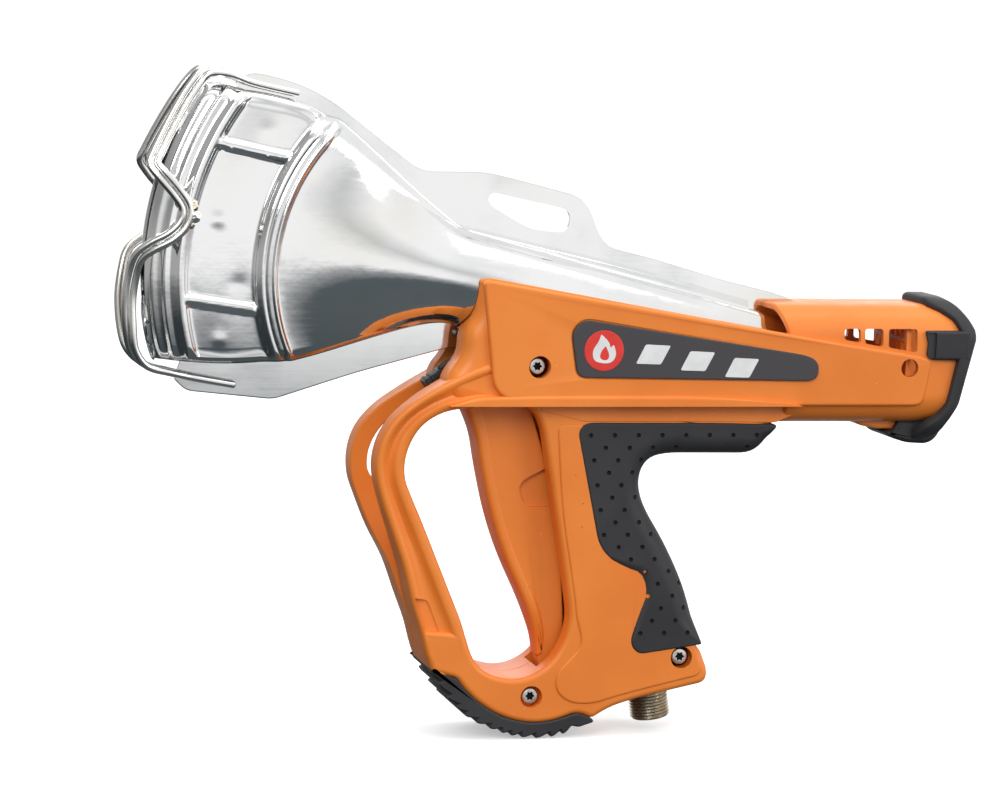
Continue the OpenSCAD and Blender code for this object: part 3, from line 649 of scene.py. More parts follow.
band = loft("bumper_band", [bumper_ring(*row) for row in (
    (3.9, 0.0), (1.6, 0.0), (0.7, 0.03), (0.2, 0.09), (0.0, 0.18), (0.0, 0.72), (0.3, 0.8), (0.9, 0.88),
    (2.0, 0.95),
    (3.6, 0.99), (5.6, 1.0), (7.4, 0.985), (8.2, 0.94), (8.4, 0.86), (8.4, 0.5), (3.9, 0.45))],
    capped=False, around_closed=True)
claws = []
for side in (-1, 1):
    claws.append(moulded("claw", rounded([
        (106.8, 165.4, 1.4), (126, 165.5, 1), (126.4, 153.1, 1), (109.5, 153.3, 2), (107.6, 155, 1.6),
        (108.2, 160, 1)]),
        side * 21, lambda x, z: side * (25.4 + 0.9 * step(x, 108, 124)), 1.2))
    notch = moulded("notch", rounded([(106, 164.6, 0), (111.4, 164.8, 1), (111.2, 154, 1), (106, 154, 0)]),
                    side * 24.6, side * 28, 0.2)
    apply_boolean(claws[-1], notch)
    discard(notch)
claws.append(moulded("bottom_claw", rounded([
    (94.6, 121.6, 1), (97.4, 119.2, 2), (104, 117.3, 2), (112.6, 116.8, 2), (116.2, 118.4, 2),
    (119, 122.4, 2),
    (116, 128.4, 2), (110, 127.6, 3), (106.4, 126.8, 2), (101.6, 127.6, 2), (99.6, 125, 1.5),
    (98.6, 122.4, 1)]), -15, 15, 1.6, 1.6))
for part in [band] + claws:
    smooth(part, 40)
bumper = join("rubber_bumper", [band] + claws)

rubber, tree, shader, coords = finish("charcoal_rubber", (0.028, 0.028, 0.031), 0.62, Specular_IOR_Level=0.4)
cloudy = clouds(tree, coords, 30.0, 6.0, 0.35, 0.7)
dust = specks(tree, coords, 210.0, 0.06)
base_tone = two_tone(tree, cloudy, (0.023, 0.023, 0.026), (0.036, 0.036, 0.039))
tree.links.new(two_tone(tree, dust, base_tone, (0.16, 0.15, 0.14)), shader.inputs["Base Color"])
tree.links.new(ranged(tree, cloudy, 0.5, 0.68), shader.inputs["Roughness"])
add_grain(tree, shader, coords, 1900.0, 0.3, 0.0002)
bumper.data.materials.append(rubber)
place(bumper, "soft_black", "gun", "tail_bumper")

black_plastic, tree, shader, coords = finish("black_plastic", (0.02, 0.02, 0.022), 0.5)
cloudy = clouds(tree, coords, 120.0, 5.0, 0.3, 0.7)
tree.links.new(ranged(tree, cloudy, 0.4, 0.6), shader.inputs["Roughness"])
add_grain(tree, shader, coords, 2200.0, 0.2, 0.00015)

# ---- Grip pads
# Pads of the same soft rubber, moulded over each side of the grip and round its back edge. The real ones
# are skins; here each is a block that runs in to the middle of the grip, over the parts inside.
# Staggered rows of small round dimples give them their hold; their insides are painted near-black as shade.
pad_outline = rounded(pad_corners)
# A near-black finish painted into the dimples and the screw sockets as their shade.
painted_shade_black = finish("painted_shade_black", (0.006, 0.006, 0.007), 0.85)[0]


def inside_pad(x, z, margin):
    edge = inset(pad_outline, [margin] * len(pad_outline))
    crossings = False
    for i, b in enumerate(edge):
        a = edge[i - 1]
        if (a.y > z) != (b.y > z) and x < a.x + (b.x - a.x) * (z - a.y) / (b.y - a.y):
            crossings = not crossings
    return crossings


def pad_rim(x, z):
    rear = step(x, -22, -14) * step(z, 34, 46) * (1 - step(z, 119, 124))
    return 0.7 + 7.6 * rear * (1 - 0.35 * step(x, 20, 40))


def pad_height(x, z):
    """How far out the pad's face stands at a point, over its rounded back."""
    away = min((Vector((x, z)) - p).length - 0.001 for p in pad_outline)
    near = min(pad_outline, key=lambda p: (Vector((x, z)) - p).length)
    r = pad_rim(*near)
    return 20.0 if away >= r else 20.0 - r + math.sqrt(max(0, r * r - (r - away) ** 2))


def grip_pad(side):
    pad = moulded("grip_pad", pad_outline, side * 0.1, side * 20.0, pad_rim, 0.3, 8)
    dimples = []
    for row in range(17):
        z = 121.4 - 5.15 * row
        for column in range(9):
            x = -35.0 + 0.85 * row + 10.15 * column + (5.6 if row % 2 else 0)
            if inside_pad(x, z, 1.5):
                y = pad_height(x, z)
                dimples.append(loft("dimple", [[
                    (x + r * math.cos(math.pi * k / 5), side * (y + d), z + r * math.sin(math.pi * k / 5))
                    for k in range(10)] for r, d in ((1.0, 1), (1.0, -0.1), (0.95, -0.6), (0.6, -0.9))]))
    holes = join("dimples", dimples)
    # The dimples' faces take the near-black painted shade.
    for face in holes.data.polygons:
        face.material_index = 1
    for material in (rubber, painted_shade_black):
        pad.data.materials.append(material)
        holes.data.materials.append(material)
    apply_boolean(pad, holes)
    discard(holes)
    smooth(pad)
    return pad


for side, node in ((-1, "left_grip_pad"), (1, "right_grip_pad")):
    pad = grip_pad(side)
    place(pad, "soft_black", "gun", node)

# ---- Foot bumper
# A thick strip of the same rubber wraps the round foot of the guard.
# Saw-tooth ribs across it keep the gun from sliding when it is set down.
foot_line = [(-98.9, 24.4), (-95.7, 19), (-91.3, 12.8), (-87.4, 8.6), (-83.3, 5.1), (-77.5, 1.9),
             (-71.4, -0.5), (-66.8, -2.2), (-62.4, -3.2),
             (-56.3, -4), (-49.2, -3.8), (-43.6, -2.8), (-38.4, -0.9)]
teeth = []
for k in range(13):
    here, after = Vector(between(foot_line, k / 13)), Vector(between(foot_line, (k + 1) / 13))
    out = Vector((after.y - here.y, here.x - after.x)).normalized()
    out = -out if out.y > 0 else out
    teeth += [(*(here - out * 1.7), 0.4), (*(here + out * 0.1), 0.5),
              (*(here.lerp(after, 0.3) + out * 0.1), 0.8),
              (*(here.lerp(after, 0.96) - out * 1.7), 0.4)]
foot_strip = moulded("foot_strip", rounded([(-98.6, 24.9, 0.6)] + teeth + [
    (-36, 0, 1), (-29.6, 2.1, 1), (-30.6, 3.5, 0.6), (-37, 6.2, 2), (-46.3, 2.9, 4), (-57, 1.9, 4),
    (-68.9, 4.7, 4),
    (-78.8, 10.7, 4), (-85.7, 17.5, 3), (-88, 21, 1)], 2), -19.5, 19.5, 0.6, 0.6, 2)
smooth(foot_strip)
foot_strip.data.materials.append(rubber)
place(foot_strip, "soft_black", "gun", "foot_bumper")

# ---- Name plates and their badge
# A printed plate of dark satin plastic lies in a recess on each side.
# It shows a red disc with a plain flame, and three slanted stripes.
satin, tree, shader, coords = finish("plate_satin", (0.045, 0.042, 0.046), 0.42)
cloudy = clouds(tree, coords, 90.0, 6.0, 0.35, 0.7)
dust = specks(tree, coords, 260.0, 0.08)
tree.links.new(two_tone(tree, dust, (0.048, 0.044, 0.048), (0.2, 0.18, 0.17)), shader.inputs["Base Color"])
tree.links.new(ranged(tree, cloudy, 0.36, 0.5), shader.inputs["Roughness"])
add_grain(tree, shader, coords, 3000.0, 0.12, 0.0001)
disc_red, tree, shader, coords = finish("disc_red", (0.72, 0.035, 0.022), 0.38)
cloudy = clouds(tree, coords, 150.0, 4.0, 0.3, 0.7)
tree.links.new(two_tone(tree, cloudy, (0.68, 0.03, 0.02), (0.76, 0.04, 0.026)), shader.inputs["Base Color"])
print_white, tree, shader, coords = finish("print_white", (0.78, 0.78, 0.78), 0.4)
cloudy = clouds(tree, coords, 180.0, 4.0, 0.3, 0.7)
tree.links.new(two_tone(tree, cloudy, (0.72, 0.72, 0.72), (0.8, 0.8, 0.8)), shader.inputs["Base Color"])

badges = []
for side, node in ((-1, "left_name_plate"), (1, "right_name_plate")):
    plate = moulded("name_plate", rounded(plate_corners), side * 24.4, side * 25.85, 0.35, steps=3)
    smooth(plate)
    plate.data.materials.append(satin)
    place(plate, "plate_black", "gun", node)
    disc = moulded("disc", [Vector((-32.2 + 8.3 * math.cos(math.pi * k / 36),
                                    156.9 + 8.3 * math.sin(math.pi * k / 36)))
                            for k in range(72)], side * 25.5, side * 25.98, 0.06, steps=2)
    disc.data.materials.append(disc_red)
    flame = moulded("flame", rounded([
        (-32.4, 151.6, 2.4), (-36.6, 152.6, 2.6), (-37.2, 157, 2), (-34.6, 160.4, 2.4), (-33.6, 163.6, 0.6),
        (-30.2, 160.6, 2.4), (-29.6, 158, 0.6), (-28.2, 159.4, 0.6), (-26.8, 155.4, 2.4), (-28.6, 152, 2.4)]),
        side * 25.8, side * 26.04, 0.04, steps=1)
    heart = moulded("heart", rounded([
        (-32, 152.8, 1.4), (-34.2, 154, 1.4), (-33.4, 156.8, 1.4), (-31.6, 158.8, 0.4), (-30, 155.6, 1.6),
        (-30.2, 153.4, 1.4)]),
        side * 25.8, side * 26.08, 0.03, steps=1)
    flame.data.materials.append(print_white)
    heart.data.materials.append(disc_red)
    badges += [disc, flame, heart]
    for k in range(3):
        x, z = -14 + 19 * k, 155.6 - 2.7 * k
        stripe = moulded("stripe", rounded([(x - 4.6, z - 4, 0.8), (x + 6, z - 4.3, 0.8),
                                            (x + 10, z + 3.4, 0.8), (x - 0.6, z + 3.9, 0.8)], 3),
                         side * 25.8, side * 26.0, 0.05, steps=1)
        stripe.data.materials.append(print_white)
        badges.append(stripe)
for part in badges:
    smooth(part)
badge = join("plate_print", badges)
place(badge, "emblem", "gun", "plate_emblems")

# ---- Shell screws
# Steel pan-head screws with a hexagon-lobed socket sit deep in their counterbores on the left side.
# Their sockets are painted near-black as shade. The right side is modelled without screws.
screw_steel, tree, shader, coords = finish("screw_steel", (0.56, 0.55, 0.53), 0.3, Metallic=1.0)
cloudy = clouds(tree, coords, 400.0, 6.0, 0.35, 0.7)
tree.links.new(ranged(tree, cloudy, 0.22, 0.5), shader.inputs["Roughness"])
tree.links.new(two_tone(tree, cloudy, (0.82, 0.81, 0.78), (0.66, 0.64, 0.6)), shader.inputs["Base Color"])
screws = []
for x, z, depth in screw_places:
    def disc_ring(r, y, x=x, z=z, depth=depth):
        return [(x + r * math.cos(math.pi * k / 24), -depth + y,
                 z + r * math.sin(math.pi * k / 24)) for k in range(48)]
    head = loft("screw", [disc_ring(*row) for row in (
        (1.9, 14), (1.9, 4.2), (3.3, 4.2), (3.5, 3.9), (3.5, 1.9), (3.35, 1.35), (3.0, 1.0), (2.4, 0.9))])
    lobes = [(x + (1.62 + 0.28 * math.cos(math.pi * k / 6)) * math.cos(math.pi * k / 36),
              z + (1.62 + 0.28 * math.cos(math.pi * k / 6)) * math.sin(math.pi * k / 36)) for k in range(72)]
    socket = loft("socket", [[(px, -depth + y, pz) for px, pz in lobes] for y in (2.9, -1)])
    # The socket's faces take the near-black painted shade.
    for face in socket.data.polygons:
        face.material_index = 1
    for material in (screw_steel, painted_shade_black):
        head.data.materials.append(material)
        socket.data.materials.append(material)
    apply_boolean(head, socket)
    discard(socket)
    smooth(head)
    screws.append(head)
screw_set = join("screw_heads", screws)
place(screw_set, "screw_steel", "gun", "shell_screws")

# ---- Trigger
# A long lever in the shells' orange plastic, pivoted in the foot. Its nose is a rounded bead,
# with a groove behind it, and a shallow window is moulded into each flank.
lever = rounded([
    (-82.6, 132.4, 1), (-86.2, 136.6, 1), (-83.6, 139.8, 1), (-60.2, 139.8, 1), (-57, 129, 4),
    (-51.3, 111, 20),
    (-46.3, 90, 20), (-43.3, 70, 12), (-41.8, 50, 12), (-40.1, 30, 8), (-39.4, 14, 3), (-44.5, 9.8, 3),
    (-49.6, 12, 3),
    (-50.4, 24, 6), (-51, 35, 8), (-55.4, 49, 12), (-65, 69, 12), (-71, 87, 12), (-75.6, 108, 12),
    (-77.6, 121, 8)])
nose = rounded([
    (-85.4, 131.8, 1), (-80.1, 120.5, 8), (-78.1, 108, 12), (-73.2, 86.6, 12), (-66.8, 68.7, 12),
    (-57, 49, 12),
    (-52.4, 35.5, 4), (-51.6, 27.4, 1), (-47.4, 27.4, 1), (-48.2, 36, 4), (-52.4, 50.6, 12),
    (-61.8, 70.4, 12),
    (-68, 88, 12), (-72.8, 109, 12), (-74.6, 121.6, 8), (-79.6, 134.4, 1)])


def taper(full):
    return lambda x, z: full - 3.9 * (1 - step(z, 24, 52))


blade_parts = []
for side in (-1, 1):
    flank = moulded("flank", lever, 0, lambda x, z: side * (taper(9.0)(x, z)), 0.8)
    patch = moulded("patch", rounded([
        (-42, 111, 0), (-49.5, 107.2, 0.5), (-60.2, 101.8, 2.6), (-62, 98.6, 1), (-60.4, 92.6, 2),
        (-57.4, 90.5, 1.2), (-42, 90.5, 0)]),
        side * 7.0, side * 12, 0.1, steps=1)
    apply_boolean(flank, patch)
    discard(patch)
    bull = moulded("nose", nose, 0, lambda x, z: side * (taper(9.5)(x, z)), 2.1, steps=7)
    for part in (flank, bull):
        smooth(part)
    blade_parts += [flank, bull]
blade = join("trigger_lever", blade_parts)
pivot_hole = rod("pivot_hole", -45, 15, -20, 20, 2.05)
apply_boolean(blade, pivot_hole)
discard(pivot_hole)
blade.data.materials.append(orange)
place(blade, "orange_plastic", "trigger", "trigger")
nodes["trigger_pin"].data.materials.clear()
nodes["trigger_pin"].data.materials.append(screw_steel)

# ---- Nozzle halves
# Two mirror-image stampings of polished stainless sheet, seam-welded along their flanges.
# A tube widens into a flat fan with two arc beads, then a boxy head with three sunk panels and a slit mouth.
fan_centre = Vector((-87, 186))


def polar(r, degrees):
    a = math.radians(degrees)
    return fan_centre + r * Vector((-math.cos(a), math.sin(a)))


def along(table, r):
    for (r0, v0), (r1, v1) in zip(table, table[1:]):
        if r <= r1:
            return v0 + (v1 - v0) * max(0.0, (r - r0) / (r1 - r0))
    return table[-1][1]


top_angle = [(60, 52), (78, 50.6), (81.5, 50), (86, 47.6), (94, 46), (105, 42.4), (117, 38.6), (125, 37.2),
             (130.5, 35.4)]
low_angle = [(60, -29), (78, -27), (81.5, -26), (90, -23.6), (117, -18), (130.5, -15.6)]
half_depth = [(78, 13.6), (112, 14.0), (118.2, 14.4), (119.6, 13.2), (121, 12.4), (123.6, 12.2),
              (124.8, 10.6), (126, 10.2),
              (128.2, 9.8), (129.6, 8.4), (130.5, 6.2)]


def bump(x, centre, width):
    return math.exp(-((x - centre) / width) ** 2)


rib_lines = [(Vector((-188.8, 237.9)), Vector((-158.5, 231.7))),
             (Vector((-201.2, 175.5)), Vector((-169.8, 170.9)))]


def relief_at(p, r, rim):
    """Height of the pressed pattern over the plain sheet; rim is how far the head's long edge is."""
    high = 1.6 * bump(r, 79.6, 1.3) - 1.1 * bump(r, 81.8, 0.65) + 1.4 * bump(r, 84.3, 1.7) - 0.5 * bump(r,
        87.4, 0.7)
    rib = 0.0
    for a, b in rib_lines:
        d = b - a
        gap = abs((p.x - a.x) * d.y - (p.y - a.y) * d.x) / d.length
        rib = max(rib, 1 - step(gap, 0.9, 2.8))
    sunk = step(r, 86.2, 88.8) * (1 - step(r, 113.2, 116.2)) * step(rim, 2.2, 4.6)
    high -= 2.0 * sunk * (1 - rib)
    high += 0.5 * sunk * (1 - rib) * bump(r, 101, 9)
    high += 0.5 * bump(r, 117.2, 1.6)
    for x, z, depth, wide in ((-189.4, 207.4, 0.35, 3.2), (-169.6, 243.4, 0.2, 3),
                              (-180.1, 181.6, -0.25, 3.4), (-187.7, 159.2, 0.3, 2.6)):
        high += depth * math.exp(-((p.x - x) ** 2 + (p.y - z) ** 2) / wide ** 2)
    return high


rows_low, rows_side, rows_top = 10, 150, 12


def fan_section(r, detail=True):
    """Half of the head's section at radius r: from the bottom seam round the left flank to the top seam."""
    low, top, depth = along(low_angle, r), along(top_angle, r), along(half_depth, max(r, 78))
    length = math.radians(top - low) * r
    head = step(r, 84, 90)
    round_low = min(depth - 0.5, 5.0 + 1.5 * head)
    round_top = min(depth - 0.5, 13.0 - 5.5 * head)
    points = []
    for k in range(rows_low):
        t = k / (rows_low - 1)
        flat = max(0.0, depth - round_low)
        if t < 0.4:
            points.append((0.0, flat * t / 0.4))
        else:
            a = math.pi / 2 * (t - 0.4) / 0.6
            points.append((round_low * (1 - math.cos(a)), flat + round_low * math.sin(a)))
    for k in range(1, rows_side):
        points.append((round_low + (length - round_low - round_top) * k / rows_side, depth))
    for k in range(rows_top):
        t = k / (rows_top - 1)
        flat = max(0.0, depth - round_top)
        if t <= 0.7:
            a = math.pi / 2 * t / 0.7
            points.append((length - round_top * (1 - math.sin(a)), flat + round_top * math.cos(a)))
        else:
            points.append((length, flat * (1 - t) / 0.3))
    ring = []
    for s, y in points:
        p = polar(r, low + math.degrees(s / r))
        y -= 2.3 * abs(2 * s / length - 1) ** 2 * step(y, 2, depth)
        if detail and y > 3:
            edge = min(s, length - s)
            y += relief_at(p, r, edge) * step(y, 3, depth) * step(r, 76, 78.4)
        ring.append((p.x, y, p.y))
    return ring


def tube_section(s):
    count = rows_low + rows_side - 1 + rows_top
    ring = []
    for k in range(count):
        a = math.pi * (k / (count - 1)) - math.pi / 2
        p = throat + tube_run * s + tube_up * (tube_radius * math.sin(a))
        ring.append((p.x, tube_radius * math.cos(a), p.z))
    return ring


def nozzle_sheet(side):
    start, end = tube_section(0), fan_section(77.2, False)
    rings = [tube_section(137 - 137 * k / 10) for k in range(11)]
    for k in range(1, 30):
        t = k / 30
        ring = []
        for a, b in zip(start, end):
            a, b = Vector(a), Vector(b)
            lead = -tube_run * 34
            drive = b - a
            h = ((2 * t ** 3 - 3 * t * t + 1) * a + (t ** 3 - 2 * t * t + t) * lead
                 + (3 * t * t - 2 * t ** 3) * b + (t ** 3 - t * t) * drive)
            ring.append(tuple(h))
        rings.append(ring)
    radii = [77.2 + 0.45 * k for k in range(26)] + [89.2 + 1.2 * k
                                                    for k in range(20)] + [112.6 + 0.45 * k
                                                        for k in range(40)]
    rings += [fan_section(r) for r in radii if r < 130.4] + [fan_section(130.5)]
    lip = fan_section(130.3, False)
    rings.append([(x, min(y, 5.4), z) for x, y, z in lip])
    rings = [[(x, side * max(y, 0.0), z) for x, y, z in ring] for ring in rings]
    sheet = loft("nozzle_sheet", rings, ring_closed=False, capped=False)
    bpy.ops.object.mode_set(mode="EDIT")
    bpy.ops.mesh.select_all(action="SELECT")
    bpy.ops.mesh.normals_make_consistent(inside=False)
    bpy.ops.object.mode_set(mode="OBJECT")
    middle = min(sheet.data.polygons, key=lambda f: (f.center - Vector((-0.18, side * 0.014, 0.2))).length)
    if middle.normal.y * side < 0:
        bpy.ops.object.mode_set(mode="EDIT")
        bpy.ops.mesh.select_all(action="SELECT")
        bpy.ops.mesh.flip_normals()
        bpy.ops.object.mode_set(mode="OBJECT")
    wall = sheet.modifiers.new("wall", "SOLIDIFY")
    wall.thickness, wall.offset, wall.use_even_offset, wall.material_offset = 1.0 * MM, -1, False, 1
    bpy.context.view_layer.objects.active = sheet
    bpy.ops.object.modifier_apply(modifier=wall.name)
    return sheet


upper_flange = rounded([
    (-181.4, 262, 1), (-176, 265.8, 4), (-169, 265.2, 6), (-155.5, 261.8, 8), (-142, 255.3, 8),
    (-104.5, 227.4, 5), (-78, 227.6, 6),
    (-60, 223.6, 8), (-37.7, 218.1, 5), (-33, 213.6, 5), (-27.8, 201, 4), (-23, 196.8, 4), (-7, 193.2, 6),
    (24, 184.5, 6),
    (50, 178.4, 4), (57, 175.8, 1), (42.6, 175.6, 0), (42, 166, 0), (-87, 198, 0), (-140, 240, 0),
    (-180, 256, 0)], 4)
lower_flange = rounded([
    (-204.2, 142.4, 1), (-199.4, 137.6, 3), (-163.6, 134.1, 3), (-129, 145.2, 8), (-91, 155.4, 3),
    (-85.4, 154.2, 1),
    (-85.4, 172, 0), (-140, 166, 0), (-200, 156, 0)], 4)
hang_slot = rounded([
    (-74.6, 219.2, 2), (-76.6, 216.4, 1.6), (-75, 213.6, 2), (-60.2, 205.1, 5), (-54, 203.6, 3),
    (-44.6, 203, 2.4),
    (-41.8, 205.4, 2), (-41.3, 210, 2), (-43.4, 212.8, 2)], 4)
fold_line = [(-139.4, 244.6), (-122.8, 230.3), (-103.3, 213.6), (-92.6, 205.2), (-86.9, 203.2),
             (-57.9, 196.6), (-19.3, 187.9), (36, 173.4)]


def nozzle_half(side):
    sheet = nozzle_sheet(side)
    plate = moulded("upper_flange", upper_flange, side * 0.03, side * 0.8, 0.2, steps=2)
    slot = loft("slot", [[(p.x, y, p.y) for p in hang_slot] for y in (-3, 3)])
    apply_boolean(plate, slot)
    discard(slot)
    keel = moulded("lower_flange", lower_flange, side * 0.03, side * 0.8, 0.2, steps=2)
    # The sheet is folded up into the seam along the fan's top edge and the tube's crown
    fold = []
    for k in range(60):
        x, z = between(fold_line, k / 59)
        x1, z1 = between(fold_line, min(1, k / 59 + 0.01))
        x0, z0 = between(fold_line, max(0, k / 59 - 0.01))
        run = Vector((x1 - x0, z1 - z0)).normalized()
        up = Vector((-run.y, run.x))
        on_tube = step(x, -100, -86)
        profile = [(0.3, -6), (3.0 + 4.4 * on_tube, -5.2), (2.6 + 3.4 * on_tube, -2.4),
                   (1.8 + 1.6 * on_tube, -0.4), (1.2, 1.0), (0.85, 2.4), (0.3, 2.6)]
        fold.append([(x + up.x * h, side * d, z + up.y * h) for d, h in profile])
    seam = loft("seam_fold", fold)
    for part in (sheet, plate, keel, seam):
        smooth(part, 40)
    return join("nozzle_stamping", [sheet, plate, keel, seam])


steel, tree, shader, coords = finish("polished_stainless", (0.86, 0.86, 0.86), 0.12, Metallic=1.0)
streak_map = tree_node(tree, "ShaderNodeMapping", Vector=coords)
streak_map.inputs["Rotation"].default_value = (0, math.radians(18), 0)
streak_map.inputs["Scale"].default_value = (30, 900, 900)
streaks = clouds(tree, streak_map.outputs["Vector"], 1.0, 6.0, 0.35, 0.7)
smudge = clouds(tree, coords, 26.0, 6.0, 0.42, 0.66)
heat = clouds(tree, coords, 14.0, 3.0, 0.5, 0.75)
# The stainless is painted darker towards the bottom of the nozzle, as a painted dark reflection of the
# surroundings below.
up_and_down = tree_node(tree, "ShaderNodeSeparateXYZ", Vector=coords)
painted_low_reflection = tree_node(tree, "ShaderNodeMapRange", Value=up_and_down.outputs["Z"], From_Min=0.172,
                     From_Max=0.136, To_Min=0.0, To_Max=1.0)
bright = two_tone(tree, smudge, (0.88, 0.88, 0.88), (0.78, 0.785, 0.79))
bright = two_tone(tree, heat, bright, (0.82, 0.80, 0.75))
tree.links.new(two_tone(tree, painted_low_reflection.outputs["Result"], bright, (0.50, 0.515, 0.52)),
               shader.inputs["Base Color"])
blend_rough = tree_node(tree, "ShaderNodeMath", (("operation", "MULTIPLY"),),
                        i0=ranged(tree, streaks, 0.8, 1.25),
                        i1=ranged(tree, smudge, 0.08, 0.17))
tree.links.new(blend_rough.outputs[0], shader.inputs["Roughness"])
waves = use_group(tree, grain_group, Vector=coords, Scale=75.0, Strength=0.22, Depth=0.0006)
scratch = tree_node(tree, "ShaderNodeBump", Height=streaks, Strength=0.05, Distance=0.00005,
                    Normal=waves.outputs["Normal"])
tree.links.new(scratch.outputs["Normal"], shader.inputs["Normal"])
soot, tree, shader, coords = finish("sooted_stainless", (0.06, 0.055, 0.05), 0.5, Metallic=0.6)
cloudy = clouds(tree, coords, 60.0, 6.0, 0.35, 0.7)
tree.links.new(two_tone(tree, cloudy, (0.03, 0.028, 0.026), (0.12, 0.11, 0.1)), shader.inputs["Base Color"])

for side, node in ((-1, "nozzle_left_half"), (1, "nozzle_right_half")):
    stamping = nozzle_half(side)
    stamping.data.materials.append(steel)
    stamping.data.materials.append(soot)
    place(stamping, "polished_steel", "gun", node)

# ---- Wire cage and its welds
# Two steel wires side by side on each flank stand off the hot mouth. They are welded to the flanges
# at their ends and to the head at their waist, where the weld's heat has tinted the steel.
rod_radius, rod_spacing = 1.5, 3.15
rod_route = [
    (-157, -2.6, 257.8), (-168, -2.6, 260), (-176, -2.8, 261.8), (-184, -4, 264.6), (-190, -5.3, 266.9),
    (-194.6, -6.4, 267.0),
    (-198.6, -7.8, 263.6), (-204, -9, 256), (-210, -11, 245.5), (-215.4, -13, 234.6), (-217.2, -14, 229.4),
    (-214, -16, 224.4), (-208, -17.4, 217.4), (-204.4, -17.5, 211.6), (-205.4, -17.5, 206.5),
    (-210, -17, 201.8), (-216.6, -15, 198),
    (-222, -13, 193.4), (-224.4, -11, 186), (-225.8, -10, 175), (-225, -9, 163), (-222.4, -7.5, 154),
    (-216, -6, 148.2), (-206, -4.5, 145.4),
    (-196, -2.7, 143.2), (-180.5, -2.6, 140.5)]


def wire(name, points, radius, sides=14, steps=5):
    """A round wire along the points, its frame carried without twist and its ends domed."""
    path = [Vector(between(points, k / ((len(points) - 1) * steps)))
            for k in range((len(points) - 1) * steps + 1)]
    normal = Vector((0, 1, 0))
    rings = []
    for i, p in enumerate(path):
        run = (path[min(i + 1, len(path) - 1)] - path[max(i - 1, 0)]).normalized()
        normal = (normal - run * normal.dot(run)).normalized()
        third = run.cross(normal)
        last = 1 if i == len(path) - 1 else -1
        ends = ((0.2, 0.0), (0.75, 0.35)) if i == 0 else ((0.75, 0.35), (0.2, 0.0)) if last == 1 else ()

        def turn(centre, share):
            angles = [2 * math.pi * k / sides for k in range(sides)]
            return [tuple(centre + (normal * math.cos(a) + third * math.sin(a)) * radius * share)
                    for a in angles]
        here = [turn(p + run * radius * (0.5 - back) * last, share) for share, back in ends]
        full = turn(p, 1)
        rings += here + [full] if last == -1 else [full] + here
    return loft(name, rings)


def cage_wire(name, side, gap):
    """The outer wire follows the route; the inner one is set in by a gap, and lies beside it at its ends."""
    points = []
    for i, p in enumerate(rod_route):
        a, b = Vector(rod_route[max(0, i - 1)]), Vector(rod_route[min(len(rod_route) - 1, i + 1)])
        run = Vector((b.x - a.x, b.z - a.z)).normalized()
        turn = math.pi / 2 * max(0, 1 - min(max(i - 3, 0), max(len(rod_route) - 4 - i, 0)) / 3)
        shift = gap * math.cos(turn)
        points.append((p[0] - run.y * shift, side * (gap * math.sin(turn) - p[1]), p[2] + run.x * shift))
    return wire(name, points, rod_radius)


drawn_wire, tree, shader, coords = finish("drawn_wire", (0.84, 0.835, 0.82), 0.16, Metallic=1.0)
tint = clouds(tree, coords, 45.0, 5.0, 0.4, 0.75)
tree.links.new(two_tone(tree, tint, (0.86, 0.855, 0.84), (0.68, 0.65, 0.6)), shader.inputs["Base Color"])
tree.links.new(ranged(tree, tint, 0.16, 0.32), shader.inputs["Roughness"])
add_grain(tree, shader, coords, 500.0, 0.1, 0.00008)
for node, side, gap in (
        ("left_outer_rod", -1, 0), ("left_inner_rod", -1, rod_spacing), ("right_outer_rod", 1, 0),
        ("right_inner_rod", 1, rod_spacing)):
    piece = cage_wire(node + "_wire", side, gap)
    smooth(piece, 50)
    piece.data.materials.append(drawn_wire)
    place(piece, "steel_wire", "gun", node)

weld_steel, tree, shader, coords = finish("weld_tint", (0.5, 0.42, 0.33), 0.35, Metallic=1.0)
tint = clouds(tree, coords, 260.0, 5.0, 0.35, 0.65)
burn = clouds(tree, coords, 420.0, 4.0, 0.5, 0.7)
tree.links.new(two_tone(tree, burn, two_tone(tree, tint, (0.82, 0.8, 0.74), (0.62, 0.44, 0.24)),
                        (0.16, 0.11, 0.07)), shader.inputs["Base Color"])
tree.links.new(ranged(tree, tint, 0.2, 0.5), shader.inputs["Roughness"])
add_grain(tree, shader, coords, 900.0, 0.5, 0.0004)
bead_silver = finish("bead_silver", (0.86, 0.85, 0.83), 0.2, Metallic=1.0)[0]
blobs = []
for side in (-1, 1):
    for x, y, z, size in ((-200.2, 16.2, 212.4, 2.2), (-199.8, 16.4, 208.8, 2.7), (-201, 16.2, 205.8, 1.8),
                          (-199.6, 15.6, 214.2, 1.4)):
        bpy.ops.object.select_all(action="DESELECT")
        bpy.ops.mesh.primitive_ico_sphere_add(subdivisions=4, radius=size * MM, location=(0, 0, 0))
        blob = bpy.context.object
        for v in blob.data.vertices:
            v.co *= 1 + 0.28 * noise.noise(v.co * 700 + Vector((x, side * y, z)))
            v.co += Vector((x, side * y, z)) * MM
        smooth(blob, 60)
        blob.data.materials.append(bead_silver if size > 2.5 else weld_steel)
        blobs.append(blob)
weld = join("waist_welds", blobs)
place(weld, "weld", "gun", "cage_welds")

# ---- Gas inlet
# A nickel-plated brass stub with a G3/8 thread leaves the foot of the grip; a rubber washer and a
# hexagon nut hold it inside. A copper-nickel pipe feeds the valve from it.
nickel, tree, shader, coords = finish("nickel_plate", (0.58, 0.51, 0.40), 0.3, Metallic=1.0)
worn = clouds(tree, coords, 110.0, 6.0, 0.35, 0.7)
tree.links.new(two_tone(tree, worn, (0.60, 0.54, 0.44), (0.42, 0.34, 0.23)), shader.inputs["Base Color"])
tree.links.new(ranged(tree, worn, 0.22, 0.42), shader.inputs["Roughness"])
add_grain(tree, shader, coords, 700.0, 0.12, 0.0001)

